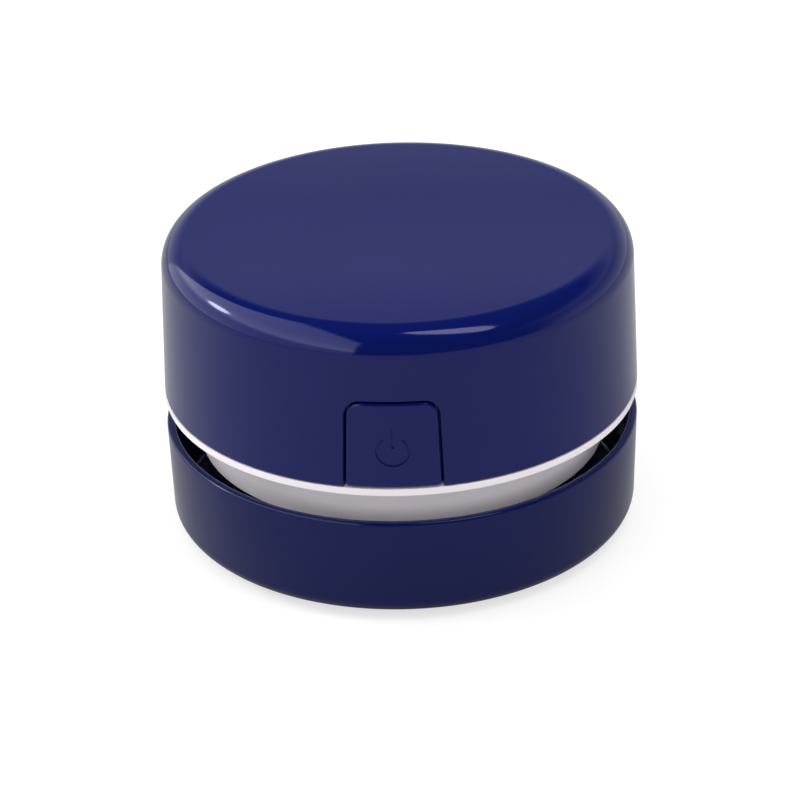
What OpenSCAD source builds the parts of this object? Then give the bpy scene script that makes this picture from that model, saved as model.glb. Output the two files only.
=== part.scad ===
// Desktop mini vacuum cleaner.
// A round drive unit (blue casing, white deck and skirt, motor, fan, two cells) stands in a
// shallow dust base with a brush ring under it. Air enters inside the brush ring, rises through
// the dust cup and the filter into the fan, goes down behind the skirt and leaves through the
// open gap between the base rim and the white ring.
// +Z is up, the desk is z = 0, the axis is x = y = 0, and the power button faces -Y.

/* [Casing] */
// Outer radius of the casing, the white ring and the base rim
body_r = 42; // [38:0.5:60]
// Height of the top casing
casing_h = 28.3; // [26:0.1:40]
// Radius that the casing loses from its lower edge to its top
casing_draft = 0.9; // [0:0.1:1.2]
// Radius of the casing's rounded top edge
casing_edge = 4.8; // [2:0.1:8]
// Wall thickness of the casing
casing_wall = 1.6; // [1.2:0.1:1.8]
// Free height between the motor clamp's screws and the casing
top_clear = 0.8; // [0.4:0.1:4]

/* [White deck and skirt] */
// Thickness of the white ring and the deck behind it
ring_t = 1.2; // [1:0.1:2]
// How far the skirt stands in from the ring's edge
skirt_in = 5.6; // [4.6:0.1:6.4]
// Wall thickness of the skirt
skirt_wall = 1.6; // [1:0.1:1.8]
// Radius that the skirt loses from the deck to its lower edge
skirt_draft = 0.4; // [0:0.1:0.6]
// How far the skirt reaches down below the base rim
skirt_drop = 3.6; // [1:0.1:6]
// Height of the rim on the deck that centres the casing
deck_rim_h = 3; // [1.5:0.1:5]
// Thickness of that rim
deck_rim_t = 1.1; // [0.8:0.1:1.2]

/* [Base bowl] */
// Height of the base bowl from its underside to its rim
base_h = 18.2; // [17.5:0.1:24]
// Wall thickness of the bowl
base_wall = 1.5; // [1:0.1:2]
// Thickness of the bowl's floor
floor_t = 1.4; // [1.2:0.1:2]
// Radius that the bowl loses from its rim to its underside
base_draft = 0.5; // [0:0.1:2]
// Radius of the bowl's rounded lower edge
base_edge = 2.8; // [2:0.1:3]
// Free height of the exhaust gap between the base rim and the white ring
vent_gap = 5.5; // [4.5:0.1:9]
// Depth of the suction recess in the bowl's underside
recess_depth = 2.6; // [2:0.1:3.2]
// How far that recess stands in from the dust cup's collar
recess_in = 2; // [1.6:0.1:3]

/* [Glide feet] */
// How far the feet stand proud of the bowl
foot_h = 1.2; // [0.8:0.1:3]
// Radius of a foot
foot_r = 3; // [2:0.1:3.4]
// Number of feet
foot_count = 4; // [3:1:6]

/* [Dust cup] */
// Width of the air channel between the skirt and the fan plate's lip over the collar
channel_w = 2; // [1.6:0.1:3]
// Wall thickness of the collar
cup_wall = 1.6; // [1.4:0.1:1.8]
// Thickness of the cup's floor
cup_floor_t = 1; // [0.8:0.1:1.4]
// Radius of the suction inlet
inlet_r = 8; // [6:0.1:10]
// Wall thickness of the inlet chimney
chimney_wall = 1.2; // [1:0.1:2]
// Free height between the chimney and the filter
chimney_gap = 2.6; // [2:0.1:4]
// Radius of the seal ring's section
seal_r = 0.55; // [0.4:0.05:0.6]

/* [Brush] */
// Free width between the brush ring and the side of the recess
brush_gap = 1.6; // [0.6:0.1:2.4]
// Width of the brush ring
brush_w = 4.4; // [3.4:0.1:4.8]
// Thickness of the brush ring's backing
brush_t = 1; // [0.6:0.1:1.2]
// Radius of one tuft
tuft_r = 0.65; // [0.4:0.05:0.75]
// Tufts in each of the two rows
tuft_count = 44; // [24:1:60]
// Height of the tuft tips over the desk
tuft_clear = 0.2; // [0.1:0.05:0.5]

/* [Filter] */
// Height of the filter frame
filter_h = 3; // [2.6:0.1:4]
// Wall thickness of the filter frame
frame_wall = 1.3; // [1:0.1:2]
// Thickness of the frame's spokes
spoke_t = 0.8; // [0.6:0.1:1.2]
// Thickness of the filter mesh
mesh_t = 0.2; // [0.1:0.05:0.4]

/* [Fan] */
// Height of the fan chamber between the deck and the fan plate
chamber_h = 6.6; // [6.2:0.1:7.4]
// Thickness of the fan plate
plate_t = 1.5; // [1.3:0.1:2]
// Radius of the fan plate's inlet eye
eye_r = 10; // [7:0.1:14]
// Height of the lip that fits over the dust cup's collar
lip_h = 3.4; // [3.2:0.1:4.5]
// Wall thickness of that lip
lip_wall = 1.1; // [0.9:0.1:1.3]
// Free width between the impeller and the posts round it
fan_clear = 1.2; // [0.8:0.1:5]
// Number of impeller blades
blade_count = 10; // [6:1:14]
// Thickness of a blade
blade_t = 0.9; // [0.6:0.1:1.4]
// Thickness of the impeller's back disc
back_t = 1; // [0.8:0.1:1.2]
// Running height between the blades and the fan plate
blade_gap = 0.7; // [0.5:0.1:1]

/* [Motor] */
// Diameter of the motor's round sides
motor_d = 20.1; // [18:0.1:20.6]
// Width of the motor across its flats
motor_flat = 15.1; // [13:0.1:15.4]
// Length of the plastic end cap in that body
end_cap_h = 5.8; // [5.2:0.1:7]
// Radius of the motor shaft
shaft_r = 1; // [0.8:0.05:1.2]
// How far the motor is sunk into the deck
well_depth = 1.4; // [1:0.1:1.6]

/* [Cells] */
// How far the battery tray's sides stand in from the ring's edge
tray_side_in = 16.65; // [16.65:0.05:20]
// How far the battery tray's corners stand in from the ring's edge
tray_corner_in = 3.6; // [3.4:0.1:8]
// Length that a contact spring takes up
spring_len = 4.2; // [3:0.1:4.4]
// Thickness of a contact plate
contact_t = 0.4; // [0.3:0.05:0.6]
// Wall thickness of the battery tray
tray_wall = 1.1; // [0.8:0.1:1.2]
// Thickness of the battery tray's floor
tray_floor_t = 1; // [0.8:0.1:1.4]

/* [Power button] */
// Width of the button at its lower edge
button_w = 16.2; // [12:0.1:17.4]
// Width of the button at its top
button_top_w = 15.1; // [11:0.1:16.2]
// Height of the button
button_h = 15.5; // [13:0.1:17.5]
// Radius of the button's upper corners
button_edge = 2.3; // [1:0.1:4]
// Travel of the button
button_travel = 1.2; // [0.6:0.1:1.4]
// Gap round the button
button_gap = 0.35; // [0.25:0.05:0.5]
// Height of the power symbol's centre over the button's lower edge
symbol_z = 6.9; // [6.6:0.1:8]
// Radius of the power symbol
symbol_r = 2.7; // [2:0.1:3.5]
// Width of the symbol's grooves
symbol_line = 0.4; // [0.3:0.05:0.6]

/* [Switch] */
// Width of the switch body
switch_w = 8.5; // [7:0.1:8.5]
// Height of the switch body
switch_h = 7; // [6:0.1:7]
// Length of the plunger outside the switch body
plunger_len = 4; // [3.4:0.1:4.5]
// Thickness of the circuit board
board_t = 1; // [0.8:0.1:1.2]

/* [Clearances] */
// Gap between pieces that slide past each other
slide_gap = 0.3; // [0.2:0.05:0.35]
// Gap where one lifted-off piece stands on another
seat_gap = 0.1; // [0.05:0.05:0.2]
// Radial running clearance of the shaft in its bushes
shaft_gap = 0.04; // [0.02:0.01:0.08]
// Gap round a screw in its pilot hole, and round pressed-in pieces
fit_gap = 0.05; // [0.02:0.01:0.08]

/* [Hidden] */
$fn = 96;

// Screws
screw_r = 0.95;
pilot_r = screw_r + fit_gap;
hole_r = 1.15;
head_r = 1.9;
head_h = 1.2;
boss_r = 2.3;

// Levels, from the desk up
clamp_t = 1.2;
z_base = foot_h;
z_rim = z_base + base_h;
z_ring = z_rim + vent_gap;
z_deck = z_ring + ring_t;
z_casing = z_deck + seat_gap;
z_top = z_casing + casing_h;
z_skirt = z_rim - skirt_drop;
z_recess = z_base + recess_depth;
z_cup = z_recess + floor_t;
z_cup_floor = z_cup + cup_floor_t;
z_plate_top = z_ring - chamber_h;
z_plate = z_plate_top - plate_t;
z_collar = z_plate - seat_gap;
z_frame = z_collar - filter_h;
z_mesh = z_frame + spoke_t;
z_foam = z_mesh + mesh_t;
z_ledge = z_frame - seat_gap;
z_chimney = z_frame - chimney_gap;
z_lip = z_plate - lip_h;
z_motor = z_deck - well_depth;
z_motor_top = z_top - casing_wall - top_clear - head_h - clamp_t;
z_end_cap = z_motor_top - end_cap_h;
z_button = z_deck + slide_gap;
z_plunger = z_button + symbol_z;
z_board = z_plunger - switch_h / 2;
z_tray_floor = z_deck + tray_floor_t;

// Radii, from the ring's edge inwards
skirt_r = body_r - skirt_in;
cup_r = skirt_r - skirt_draft - skirt_wall - channel_w - lip_wall - slide_gap;
recess_r = cup_r - recess_in;
brush_in_r = recess_r - brush_gap - brush_w;

// Casing and button
inner_edge = max(casing_edge - casing_wall, 0.6);
flange_w = 1.2;
flange_t = 1;
flange_x = button_w / 2 + flange_w;
retainer_t = 1.2;
retainer_screw_x = flange_x + 3.5;
retainer_screw_z = z_button + button_h / 2;
flange_back_r = casing_r_at(z_button + button_h + flange_w) - casing_wall - slide_gap - flange_t;
y_retainer = button_travel + slide_gap - sqrt(pow(flange_back_r, 2) - pow(flange_x, 2));
y_pusher = y_retainer + retainer_t;
y_plunger = y_pusher + slide_gap;
y_switch = y_plunger + plunger_len;
pusher_r = 2.2;
symbol_depth = 0.35;
symbol_open = 38;

// Base, dust cup and filter
recess_wall = 1.2;
foot_seat = 0.8;
foot_ring_r = (recess_r + recess_wall + body_r - base_draft - base_edge) / 2;
ledge_w = 1.4;
ledge_t = 1;
cup_screw_ring_r = (inlet_r + chimney_wall + brush_in_r) / 2 + 1;
cup_boss_h = 3;
seal_z = z_collar - 2;
seal_ring_r = cup_r + slide_gap - fit_gap * 2 - seal_r;
frame_r = cup_r - cup_wall - slide_gap;
spoke_w = 1.6;
hub_ring_r = 4;
spoke_count = 6;
tuft_row_gap = brush_w / 2;

// Fan
plate_r = cup_r + slide_gap + lip_wall;
fan_post_in = 0.4;
fan_post_ring_r = cup_r - boss_r - fan_post_in;
impeller_r = fan_post_ring_r - boss_r - fan_clear;
well_r = motor_d / 2 + 3;
z_well = z_motor - ring_t;
fan_gap = 0.6;
z_back_top = z_well - fan_gap;
z_back = z_back_top - back_t;
z_blade = z_plate_top + blade_gap;
hub_r = 3.2;
blade_in_r = 6;
blade_bend_r = 22;

// Motor
can_wall = 0.7;
can_floor = 0.8;
boss_h = 1.4;
motor_boss_r = 3;
bush_r = 2.4;
rear_boss_h = 1;
motor_clear = 0.2;
magnet_gap = 0.5;
core_r = motor_flat / 2 - can_wall - magnet_gap;
shoe_t = 1;
core_lead = 5;
commutator_room = 4.5;
core_z0 = z_motor + core_lead;
core_z1 = z_end_cap - commutator_room;
magnet_w = 11.2;
magnet_over = 1.5;
pole_count = 3;
pole_w = 2;
coil_over = 1.2;
commutator_r = 2.3;
clamp_w = 10;
clamp_post_r = 2.8;
cradle_h = 6;
cradle_t = 1.4;
clamp_post_y = motor_d / 2 + motor_clear + cradle_t + clamp_post_r;
terminal_x = clamp_w / 2 + 1.3;
terminal_h = 2;

// Cells and tray
cell_clear = 0.2;
bay_in = motor_flat / 2 + slide_gap;
bay_wall_in = 1.5;
bay_out = body_r - tray_side_in;
cell_r = (bay_out - tray_wall - bay_in - bay_wall_in) / 2 - cell_clear;
cell_x = bay_in + bay_wall_in + cell_clear + cell_r;
cell_z = z_tray_floor + cell_clear + cell_r;
tray_y = sqrt(pow(body_r - tray_corner_in, 2) - pow(bay_out, 2)) - tray_wall;
cell_len = 2 * (tray_y - contact_t) - spring_len;
nub_r = 0.38 * cell_r;
nub_h = 1.3;
tray_screw_x = cell_x + 0.58 * cell_r;
tray_screw_y = tray_y - 7.75;
tray_boss_h = 3.6;
contact_w = 2 * cell_r - 3.5;
contact_h = contact_w;
contact_low = 2.2;
tray_end_top = cell_z + contact_h / 2;
wire_r = 0.55;

// Circuit board
board_x = 7;
board_front = y_switch - 1;
board_back = -(clamp_post_y + clamp_post_r + slide_gap);
board_screw_x = 5.2;
board_screw_y = board_back - 2.2;
switch_d = board_screw_y - head_r - slide_gap - y_switch;
stem_w = 2.6;
stem_in = 4.4;
cap_r = 2.5;
cap_len = 2.3;

// Outer radius of the casing at a level
function casing_r_at(z) = body_r - casing_draft * (z - z_casing) / casing_h;
// Point number i of count, evenly spread on a circle
function on_circle(r, i, count, start = 0) =
    [r * cos(start + 360 * i / count), r * sin(start + 360 * i / count)];

// Right half of an upright outline: drafted side, rounded upper corner
module edge_outline(r, draft, h, edge) {
    slope = atan2(draft, h);
    corner = [r - draft * (h - edge) / h - edge / cos(slope), h - edge];
    touch = corner + edge * [cos(slope), sin(slope)];
    polygon([[0, 0], [r, 0], touch, corner, [corner.x, h], [0, h]]);
    translate(corner) circle(r = edge);
}

// Round body with that outline
module edge_form(r, draft, h, edge) {
    rotate_extrude() edge_outline(r, draft, h, edge);
}

// The whole tab outline, both halves
module tab_outline(w, top_w, h, edge) {
    for (side = [0, 1]) {
        mirror([side, 0]) edge_outline(w / 2, (w - top_w) / 2, h, edge);
    }
}

// A flat outline (x, z) made solid from y0 to y1
module along_y(y0, y1) {
    translate([0, y1, 0]) rotate([90, 0, 0]) linear_extrude(y1 - y0) children();
}

// A hollow cylinder from z0 to z1
module ring(r_out, r_in, z0, z1) {
    translate([0, 0, z0]) difference() {
        cylinder(r = r_out, h = z1 - z0);
        translate([0, 0, -1]) cylinder(r = r_in, h = z1 - z0 + 2);
    }
}

// A cylinder between two levels
module post(r, z0, z1) {
    translate([0, 0, z0]) cylinder(r = r, h = z1 - z0);
}

// Pan-head screw: the head's bearing face at the origin, the shank along -Z
module pan_screw(length) {
    translate([0, 0, -length]) cylinder(r = screw_r, h = length);
    difference() {
        cylinder(r = head_r, h = head_h);
        screw_cross(head_h);
    }
}

// Countersunk screw: the head's flat face at the origin, the shank along -Z
module flat_screw(length) {
    difference() {
        union() {
            translate([0, 0, -length]) cylinder(r = screw_r, h = length);
            sink_cone(head_r - fit_gap);
        }
        screw_cross(0);
    }
}

// The cone of a countersunk head, with its wide end at the origin
module sink_cone(r) {
    translate([0, 0, screw_r - r]) cylinder(r1 = screw_r, r2 = r, h = r - screw_r);
}

// The cross recess in a head whose top is at height z
module screw_cross(z) {
    cross_w = 0.5;
    cross_l = 2.2;
    cross_depth = 0.6;
    for (turn = [0, 90]) {
        rotate(turn) translate([-cross_l / 2, -cross_w / 2, z - cross_depth])
            cube([cross_l, cross_w, 2 * cross_depth]);
    }
}

// The motor's outline: a circle with two flats, grown by a clearance
module motor_outline(grow = 0) {
    intersection() {
        circle(r = motor_d / 2 + grow);
        square([motor_flat + 2 * grow, motor_d + 4], center = true);
    }
}

// Places its children at each cell; the second cell lies the other way round
module at_cells() {
    for (turn = [0, 180]) {
        rotate(turn) translate([cell_x, 0, cell_z]) children();
    }
}

// ---- Dust base ----

module bowl_form(r, h, edge) {
    translate([0, 0, z_rim]) mirror([0, 0, 1]) edge_form(r, base_draft, h, edge);
}

module base_bowl() {
    color("#20245a") difference() {
        union() {
            difference() {
                bowl_form(body_r, base_h, base_edge);
                bowl_form(body_r - base_wall, base_h - floor_t, max(base_edge - base_wall, 0.5));
            }
            post(recess_r + recess_wall, z_base, z_cup);
        }
        post(recess_r, z_base - 1, z_recess);
        post(inlet_r + chimney_wall + fit_gap, z_base, z_cup + 1);
        for (i = [0 : foot_count - 1]) {
            translate(on_circle(foot_ring_r, i, foot_count, 45))
                post(foot_r + fit_gap, z_base - 1, z_base + foot_seat);
        }
        for (i = [0 : 2]) {
            translate(on_circle(cup_screw_ring_r, i, 3, 90)) post(hole_r, z_base, z_cup + 1);
        }
    }
}

// Cup with collar, filter ledge, inlet chimney and the spigot that centres it in the bowl
module dust_cup() {
    chimney_r = inlet_r + chimney_wall;
    color("#24262b") difference() {
        union() {
            ring(chimney_r, inlet_r, z_recess, z_chimney);
            ring(cup_r, inlet_r, z_cup, z_cup_floor);
            ring(cup_r, cup_r - cup_wall, z_cup, z_collar);
            ring(cup_r - cup_wall / 2, cup_r - cup_wall - ledge_w, z_ledge - ledge_t, z_ledge);
            for (i = [0 : 2]) {
                translate(on_circle(cup_screw_ring_r, i, 3, 90))
                    post(boss_r, z_cup, z_cup_floor + cup_boss_h);
            }
        }
        rotate_extrude() translate([seal_ring_r, seal_z]) circle(r = seal_r + fit_gap);
        for (i = [0 : 2]) {
            translate(on_circle(cup_screw_ring_r, i, 3, 90))
                post(pilot_r, z_cup - 1, z_cup_floor + cup_boss_h - 0.6);
        }
    }
}

module cup_screws() {
    color("silver") for (i = [0 : 2]) {
        translate(concat(on_circle(cup_screw_ring_r, i, 3, 90), z_recess))
            mirror([0, 0, 1]) pan_screw(floor_t + cup_floor_t + cup_boss_h - 1);
    }
}

module glide_feet() {
    color("#3a3b40") for (i = [0 : foot_count - 1]) {
        translate(on_circle(foot_ring_r, i, foot_count, 45)) post(foot_r, 0, z_base + foot_seat);
    }
}

module brush_ring() {
    color("#303238") ring(brush_in_r + brush_w, brush_in_r, z_recess - brush_t, z_recess);
}

module brush_tufts() {
    color("#44464c") for (row = [0, 1], i = [0 : tuft_count - 1]) {
        translate(on_circle(brush_in_r + brush_w / 4 + row * tuft_row_gap, i + row / 2, tuft_count))
            post(tuft_r, tuft_clear, z_recess - brush_t);
    }
}

module seal_ring() {
    color("#55575c") rotate_extrude() translate([seal_ring_r, seal_z]) circle(r = seal_r);
}

// ---- Filter cartridge ----

module filter_frame() {
    color("#d9d8dc") {
        ring(frame_r, frame_r - frame_wall, z_frame, z_collar);
        ring(hub_ring_r, hub_ring_r - spoke_w, z_frame, z_mesh);
        for (i = [0 : spoke_count - 1]) {
            rotate(360 * i / spoke_count) translate([hub_ring_r - spoke_w / 2, -spoke_w / 2, z_frame])
                cube([frame_r - hub_ring_r - frame_wall / 2 + spoke_w / 2, spoke_w, spoke_t]);
        }
    }
}

module filter_mesh() {
    color("#b9bcc4") post(frame_r - frame_wall - fit_gap, z_mesh, z_foam);
}

module filter_foam() {
    color("#3d4046") post(frame_r - frame_wall - fit_gap, z_foam, z_collar);
}

// ---- Drive unit ----

module chassis() {
    color("#f4f1f6") difference() {
        union() {
            post(body_r, z_ring, z_deck);
            skirt();
            post(well_r, z_well, z_ring + ring_t / 2);
            deck_rim();
            motor_cradle();
            fan_posts();
            board_posts();
            tray_bosses();
        }
        translate([0, 0, z_motor]) linear_extrude(well_depth + 1) motor_outline(motor_clear);
        post(motor_boss_r + slide_gap, z_well - 1, z_motor + 1);
        for (i = [0 : 2]) {
            translate(on_circle(fan_post_ring_r, i, 3, 90))
                post(pilot_r, z_plate_top - 1, z_ring);
        }
        for (side = [-1, 1]) {
            translate([0, side * clamp_post_y]) post(pilot_r, z_motor_top - 9, z_motor_top + 1);
            translate([side * board_screw_x, board_screw_y]) post(pilot_r, z_deck, z_board);
            for (end = [-1, 1]) {
                translate([side * tray_screw_x, end * tray_screw_y])
                    post(pilot_r, z_ring - tray_boss_h + 0.6, z_deck + 1);
            }
        }
    }
}

// Skirt wall that hangs from the deck into the base bowl
module skirt() {
    low_r = skirt_r - skirt_draft;
    rotate_extrude() polygon([
        [skirt_r, z_ring], [low_r, z_skirt], [low_r - skirt_wall, z_skirt],
        [skirt_r - skirt_wall, z_ring]
    ]);
}

// Rim that centres the casing, open at the front for the button
module deck_rim() {
    rim_r = casing_r_at(z_deck + deck_rim_h) - casing_wall - slide_gap;
    gap_x = retainer_screw_x + boss_r + 1.6;
    difference() {
        ring(rim_r, rim_r - deck_rim_t, z_deck - ring_t / 2, z_deck + deck_rim_h);
        translate([-gap_x, -body_r, z_deck]) cube([2 * gap_x, body_r, deck_rim_h + 1]);
    }
}

// Curved walls in front of and behind the motor, and the posts of its clamp
module motor_cradle() {
    wall_in = motor_d / 2 + motor_clear;
    intersection() {
        ring(wall_in + cradle_t, wall_in, z_deck - ring_t / 2, z_deck + cradle_h);
        translate([-motor_flat / 2 + 0.5, -body_r, z_well]) cube([motor_flat - 1, 2 * body_r, z_top]);
    }
    for (side = [-1, 1]) {
        translate([0, side * clamp_post_y]) post(clamp_post_r, z_deck - ring_t / 2, z_motor_top);
    }
}

module fan_posts() {
    for (i = [0 : 2]) {
        translate(on_circle(fan_post_ring_r, i, 3, 90)) post(boss_r, z_plate_top, z_ring + ring_t / 2);
    }
}

// Two posts and one front rib carry the circuit board
module board_posts() {
    for (side = [-1, 1]) {
        translate([side * board_screw_x, board_screw_y])
            post(1.8, z_deck - ring_t / 2, z_board - board_t);
    }
    translate([-board_x + 1, board_front + 0.6, z_deck - ring_t / 2])
        cube([2 * board_x - 2, 1.2, z_board - board_t - z_deck + ring_t / 2]);
}

module tray_bosses() {
    for (side = [-1, 1], end = [-1, 1]) {
        translate([side * tray_screw_x, end * tray_screw_y])
            post(boss_r - 0.2, z_ring - tray_boss_h, z_ring + ring_t / 2);
    }
}

// Plate under the fan: inlet eye, and the lip that fits over the dust cup
module fan_plate() {
    color("#2c2e33") difference() {
        union() {
            ring(plate_r, eye_r, z_plate, z_plate_top);
            ring(plate_r, plate_r - lip_wall, z_lip, z_plate_top);
        }
        for (i = [0 : 2]) {
            translate(concat(on_circle(fan_post_ring_r, i, 3, 90), z_plate)) {
                translate([0, 0, -1]) cylinder(r = screw_r + 0.1, h = plate_t + 2);
                mirror([0, 0, 1]) sink_cone(head_r);
            }
        }
    }
}

module fan_plate_screws() {
    color("silver") for (i = [0 : 2]) {
        translate(concat(on_circle(fan_post_ring_r, i, 3, 90), z_plate))
            mirror([0, 0, 1]) flat_screw(plate_t + chamber_h - 1.2);
    }
}

module motor_can() {
    color("#c9ccd1") difference() {
        union() {
            translate([0, 0, z_motor]) linear_extrude(z_end_cap - z_motor) motor_outline();
            post(motor_boss_r, z_motor - boss_h, z_motor + can_floor);
        }
        translate([0, 0, z_motor + can_floor]) linear_extrude(z_end_cap - z_motor) motor_outline(-can_wall);
        post(bush_r, z_motor - boss_h - 1, z_motor + can_floor + 1);
    }
}

// End cap: a cup that closes the can and carries the rear bush, brushes and terminals
module motor_end_cap() {
    cap_wall = 1.2;
    color("#e8e4da") difference() {
        union() {
            translate([0, 0, z_end_cap]) linear_extrude(end_cap_h) motor_outline();
            post(motor_boss_r, z_motor_top - 1, z_motor_top + rear_boss_h);
        }
        translate([0, 0, z_end_cap - 1]) linear_extrude(end_cap_h - cap_wall + 1)
            motor_outline(-cap_wall);
        post(bush_r, z_end_cap, z_motor_top + rear_boss_h + 1);
    }
}

module motor_front_bush() {
    color("#b08d57") ring(bush_r, shaft_r + shaft_gap, z_motor - boss_h, z_motor + can_floor + 0.6);
}

module motor_rear_bush() {
    color("#b08d57") ring(bush_r, shaft_r + shaft_gap, z_motor_top - 1.4, z_motor_top + rear_boss_h);
}

module motor_magnets() {
    magnet_out = motor_d / 2 - can_wall - fit_gap;
    color("#4a4b50") intersection() {
        ring(magnet_out, core_r + magnet_gap, core_z0 - magnet_over, core_z1 + magnet_over);
        for (side = [-1, 1]) {
            translate([-magnet_w / 2, (side * motor_d - magnet_w) / 2, z_motor])
                cube([magnet_w, magnet_w, z_end_cap - z_motor]);
        }
    }
}

// Two solder tags that stand on the end cap
module motor_terminals() {
    color("#d2b45f") for (side = [-1, 1]) {
        translate([side * terminal_x - 0.2, -1.2, z_motor_top]) cube([0.4, 2.4, terminal_h]);
    }
}

// Two leaf brushes, one each side of the commutator, hung from the end cap
module motor_brushes() {
    leaf_x = commutator_r + 0.05;
    color("#8a6f45") for (side = [0, 180]) {
        rotate(side) translate([leaf_x, -1, z_end_cap - 1.6]) {
            cube([0.9, 2, 2.4]);
            translate([0.9, 0, 0]) cube([0.3, 2, end_cap_h - 1.2 + 1.6]);
        }
    }
}

module motor_clamp() {
    color("#f0eef2") difference() {
        clamp_y = clamp_post_y + clamp_post_r;
        translate([-clamp_w / 2, -clamp_y, z_motor_top]) cube([clamp_w, 2 * clamp_y, clamp_t]);
        post(motor_boss_r + motor_clear, z_motor_top - 1, z_motor_top + clamp_t + 1);
        for (side = [-1, 1]) {
            translate([0, side * clamp_post_y]) post(hole_r, z_motor_top - 1, z_motor_top + clamp_t + 1);
        }
    }
}

module motor_clamp_screws() {
    color("silver") for (side = [-1, 1]) {
        translate([0, side * clamp_post_y, z_motor_top + clamp_t]) pan_screw(7);
    }
}

// ---- Cells ----

// Two bays joined behind the motor, open in front of it for the circuit board
module battery_tray() {
    wall_top = cell_z + 1.5;
    end_y = tray_y + tray_wall;
    strip_y = clamp_post_y + clamp_post_r + 1;
    color("#2b2d33") difference() {
        union() {
            for (side = [0, 1]) {
                mirror([side, 0, 0]) {
                    translate([bay_in, -end_y, z_deck])
                        cube([bay_out - bay_in, 2 * end_y, tray_floor_t]);
                    translate([bay_in, -end_y, z_deck])
                        cube([bay_wall_in, 2 * end_y, wall_top - z_deck]);
                    translate([bay_out - tray_wall, -end_y, z_deck])
                        cube([tray_wall, 2 * end_y, wall_top - z_deck]);
                    translate([bay_in, -end_y, z_deck])
                        cube([bay_out - bay_in, tray_wall, tray_end_top - z_deck]);
                }
            }
            translate([-bay_out, tray_y, z_deck]) cube([2 * bay_out, tray_wall, tray_end_top - z_deck]);
            translate([-bay_in - 1, strip_y, z_deck])
                cube([2 * bay_in + 2, end_y - strip_y, tray_floor_t]);
        }
        // Way for the bridge plate across the two inner walls
        translate([-bay_in - bay_wall_in - 1, tray_y - 1, cell_z - contact_low - cell_clear])
            cube([2 * (bay_in + bay_wall_in + 1), 1, wall_top]);
        for (side = [-1, 1], end = [-1, 1]) {
            translate([side * tray_screw_x, end * tray_screw_y, z_tray_floor]) {
                translate([0, 0, -tray_floor_t - 1]) cylinder(r = screw_r + 0.1, h = tray_floor_t + 2);
                sink_cone(head_r);
            }
        }
    }
}

module battery_tray_screws() {
    color("silver") for (side = [-1, 1], end = [-1, 1]) {
        translate([side * tray_screw_x, end * tray_screw_y, z_tray_floor])
            flat_screw(tray_floor_t + ring_t + tray_boss_h - 1.2);
    }
}

// One cell along +Y: the nub touches the contact plate at the far end
module cell() {
    far = tray_y - contact_t;
    rotate([-90, 0, 0]) {
        post(cell_r, far - cell_len, far - nub_h);
        post(nub_r, far - nub_h - 0.5, far);
    }
}

module battery_left() {
    color("#3c3f46") translate([-cell_x, 0, cell_z]) cell();
}

module battery_right() {
    color("#3c3f46") rotate(180) translate([-cell_x, 0, cell_z]) cell();
}

// Each contact spring fills the space between its plate and its cell's flat end
module battery_springs() {
    spring_wide = 0.63 * cell_r;
    spring_narrow = 0.44 * cell_r;
    color("#c8cacf") at_cells() rotate([-90, 0, 0])
        translate([0, 0, tray_y - contact_t - spring_len])
            cylinder(r1 = spring_narrow, r2 = spring_wide, h = spring_len);
}

module contact_plate(x0, x1, y) {
    translate([x0, y, cell_z - contact_low]) cube([x1 - x0, contact_t, contact_h / 2 + contact_low]);
}

// Joins the left cell's nub to the right cell's spring behind the motor
module contact_bridge() {
    color("#d5d7db")
        contact_plate(-cell_x - contact_w / 2, cell_x + contact_w / 2, tray_y - contact_t);
}

module contact_positive() {
    color("#d5d7db") contact_plate(cell_x - contact_w / 2, cell_x + contact_w / 2, -tray_y);
}

module contact_negative() {
    color("#d5d7db") contact_plate(-cell_x - contact_w / 2, -cell_x + contact_w / 2, -tray_y);
}

// ---- Switch ----

module switch_board() {
    color("#2f6b43") difference() {
        translate([-board_x, board_front, z_board - board_t])
            cube([2 * board_x, board_back - board_front, board_t]);
        for (side = [-1, 1]) {
            translate([side * board_screw_x, board_screw_y]) post(hole_r, z_board - board_t - 1, z_board + 1);
        }
    }
}

module switch_board_screws() {
    color("silver") for (side = [-1, 1]) {
        translate([side * board_screw_x, board_screw_y, z_board])
            pan_screw(z_board - z_deck - 0.4);
    }
}

module switch_body() {
    hole_w = stem_w + 2 * slide_gap;
    color("#1d1e22") difference() {
        translate([-switch_w / 2, y_switch, z_board]) cube([switch_w, switch_d, switch_h]);
        translate([-hole_w / 2, y_switch - 1, z_plunger - hole_w / 2])
            cube([hole_w, stem_in + button_travel + slide_gap + 1, hole_w]);
    }
}

module switch_plunger() {
    color("#e6e3e0") {
        translate([0, 0, z_plunger]) along_y(y_plunger, y_plunger + cap_len) circle(r = cap_r);
        translate([-stem_w / 2, y_plunger + cap_len - 0.5, z_plunger - stem_w / 2])
            cube([stem_w, plunger_len - cap_len + stem_in + 0.5, stem_w]);
    }
}

// ---- Wires ----

// Points on a smooth curve through the route's points
function blend_point(a, b, c, d, t) =
    b + 0.5 * t * (c - a + t * (2 * a - 5 * b + 4 * c - d + t * (3 * (b - c) + d - a)));
function smooth_route(p, steps) = [
    for (i = [0 : len(p) - 2], s = [0 : steps - 1])
        blend_point(p[max(i - 1, 0)], p[i], p[i + 1], p[min(i + 2, len(p) - 1)], s / steps),
    p[len(p) - 1]
];
function unit(v) = v / norm(v);

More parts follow.
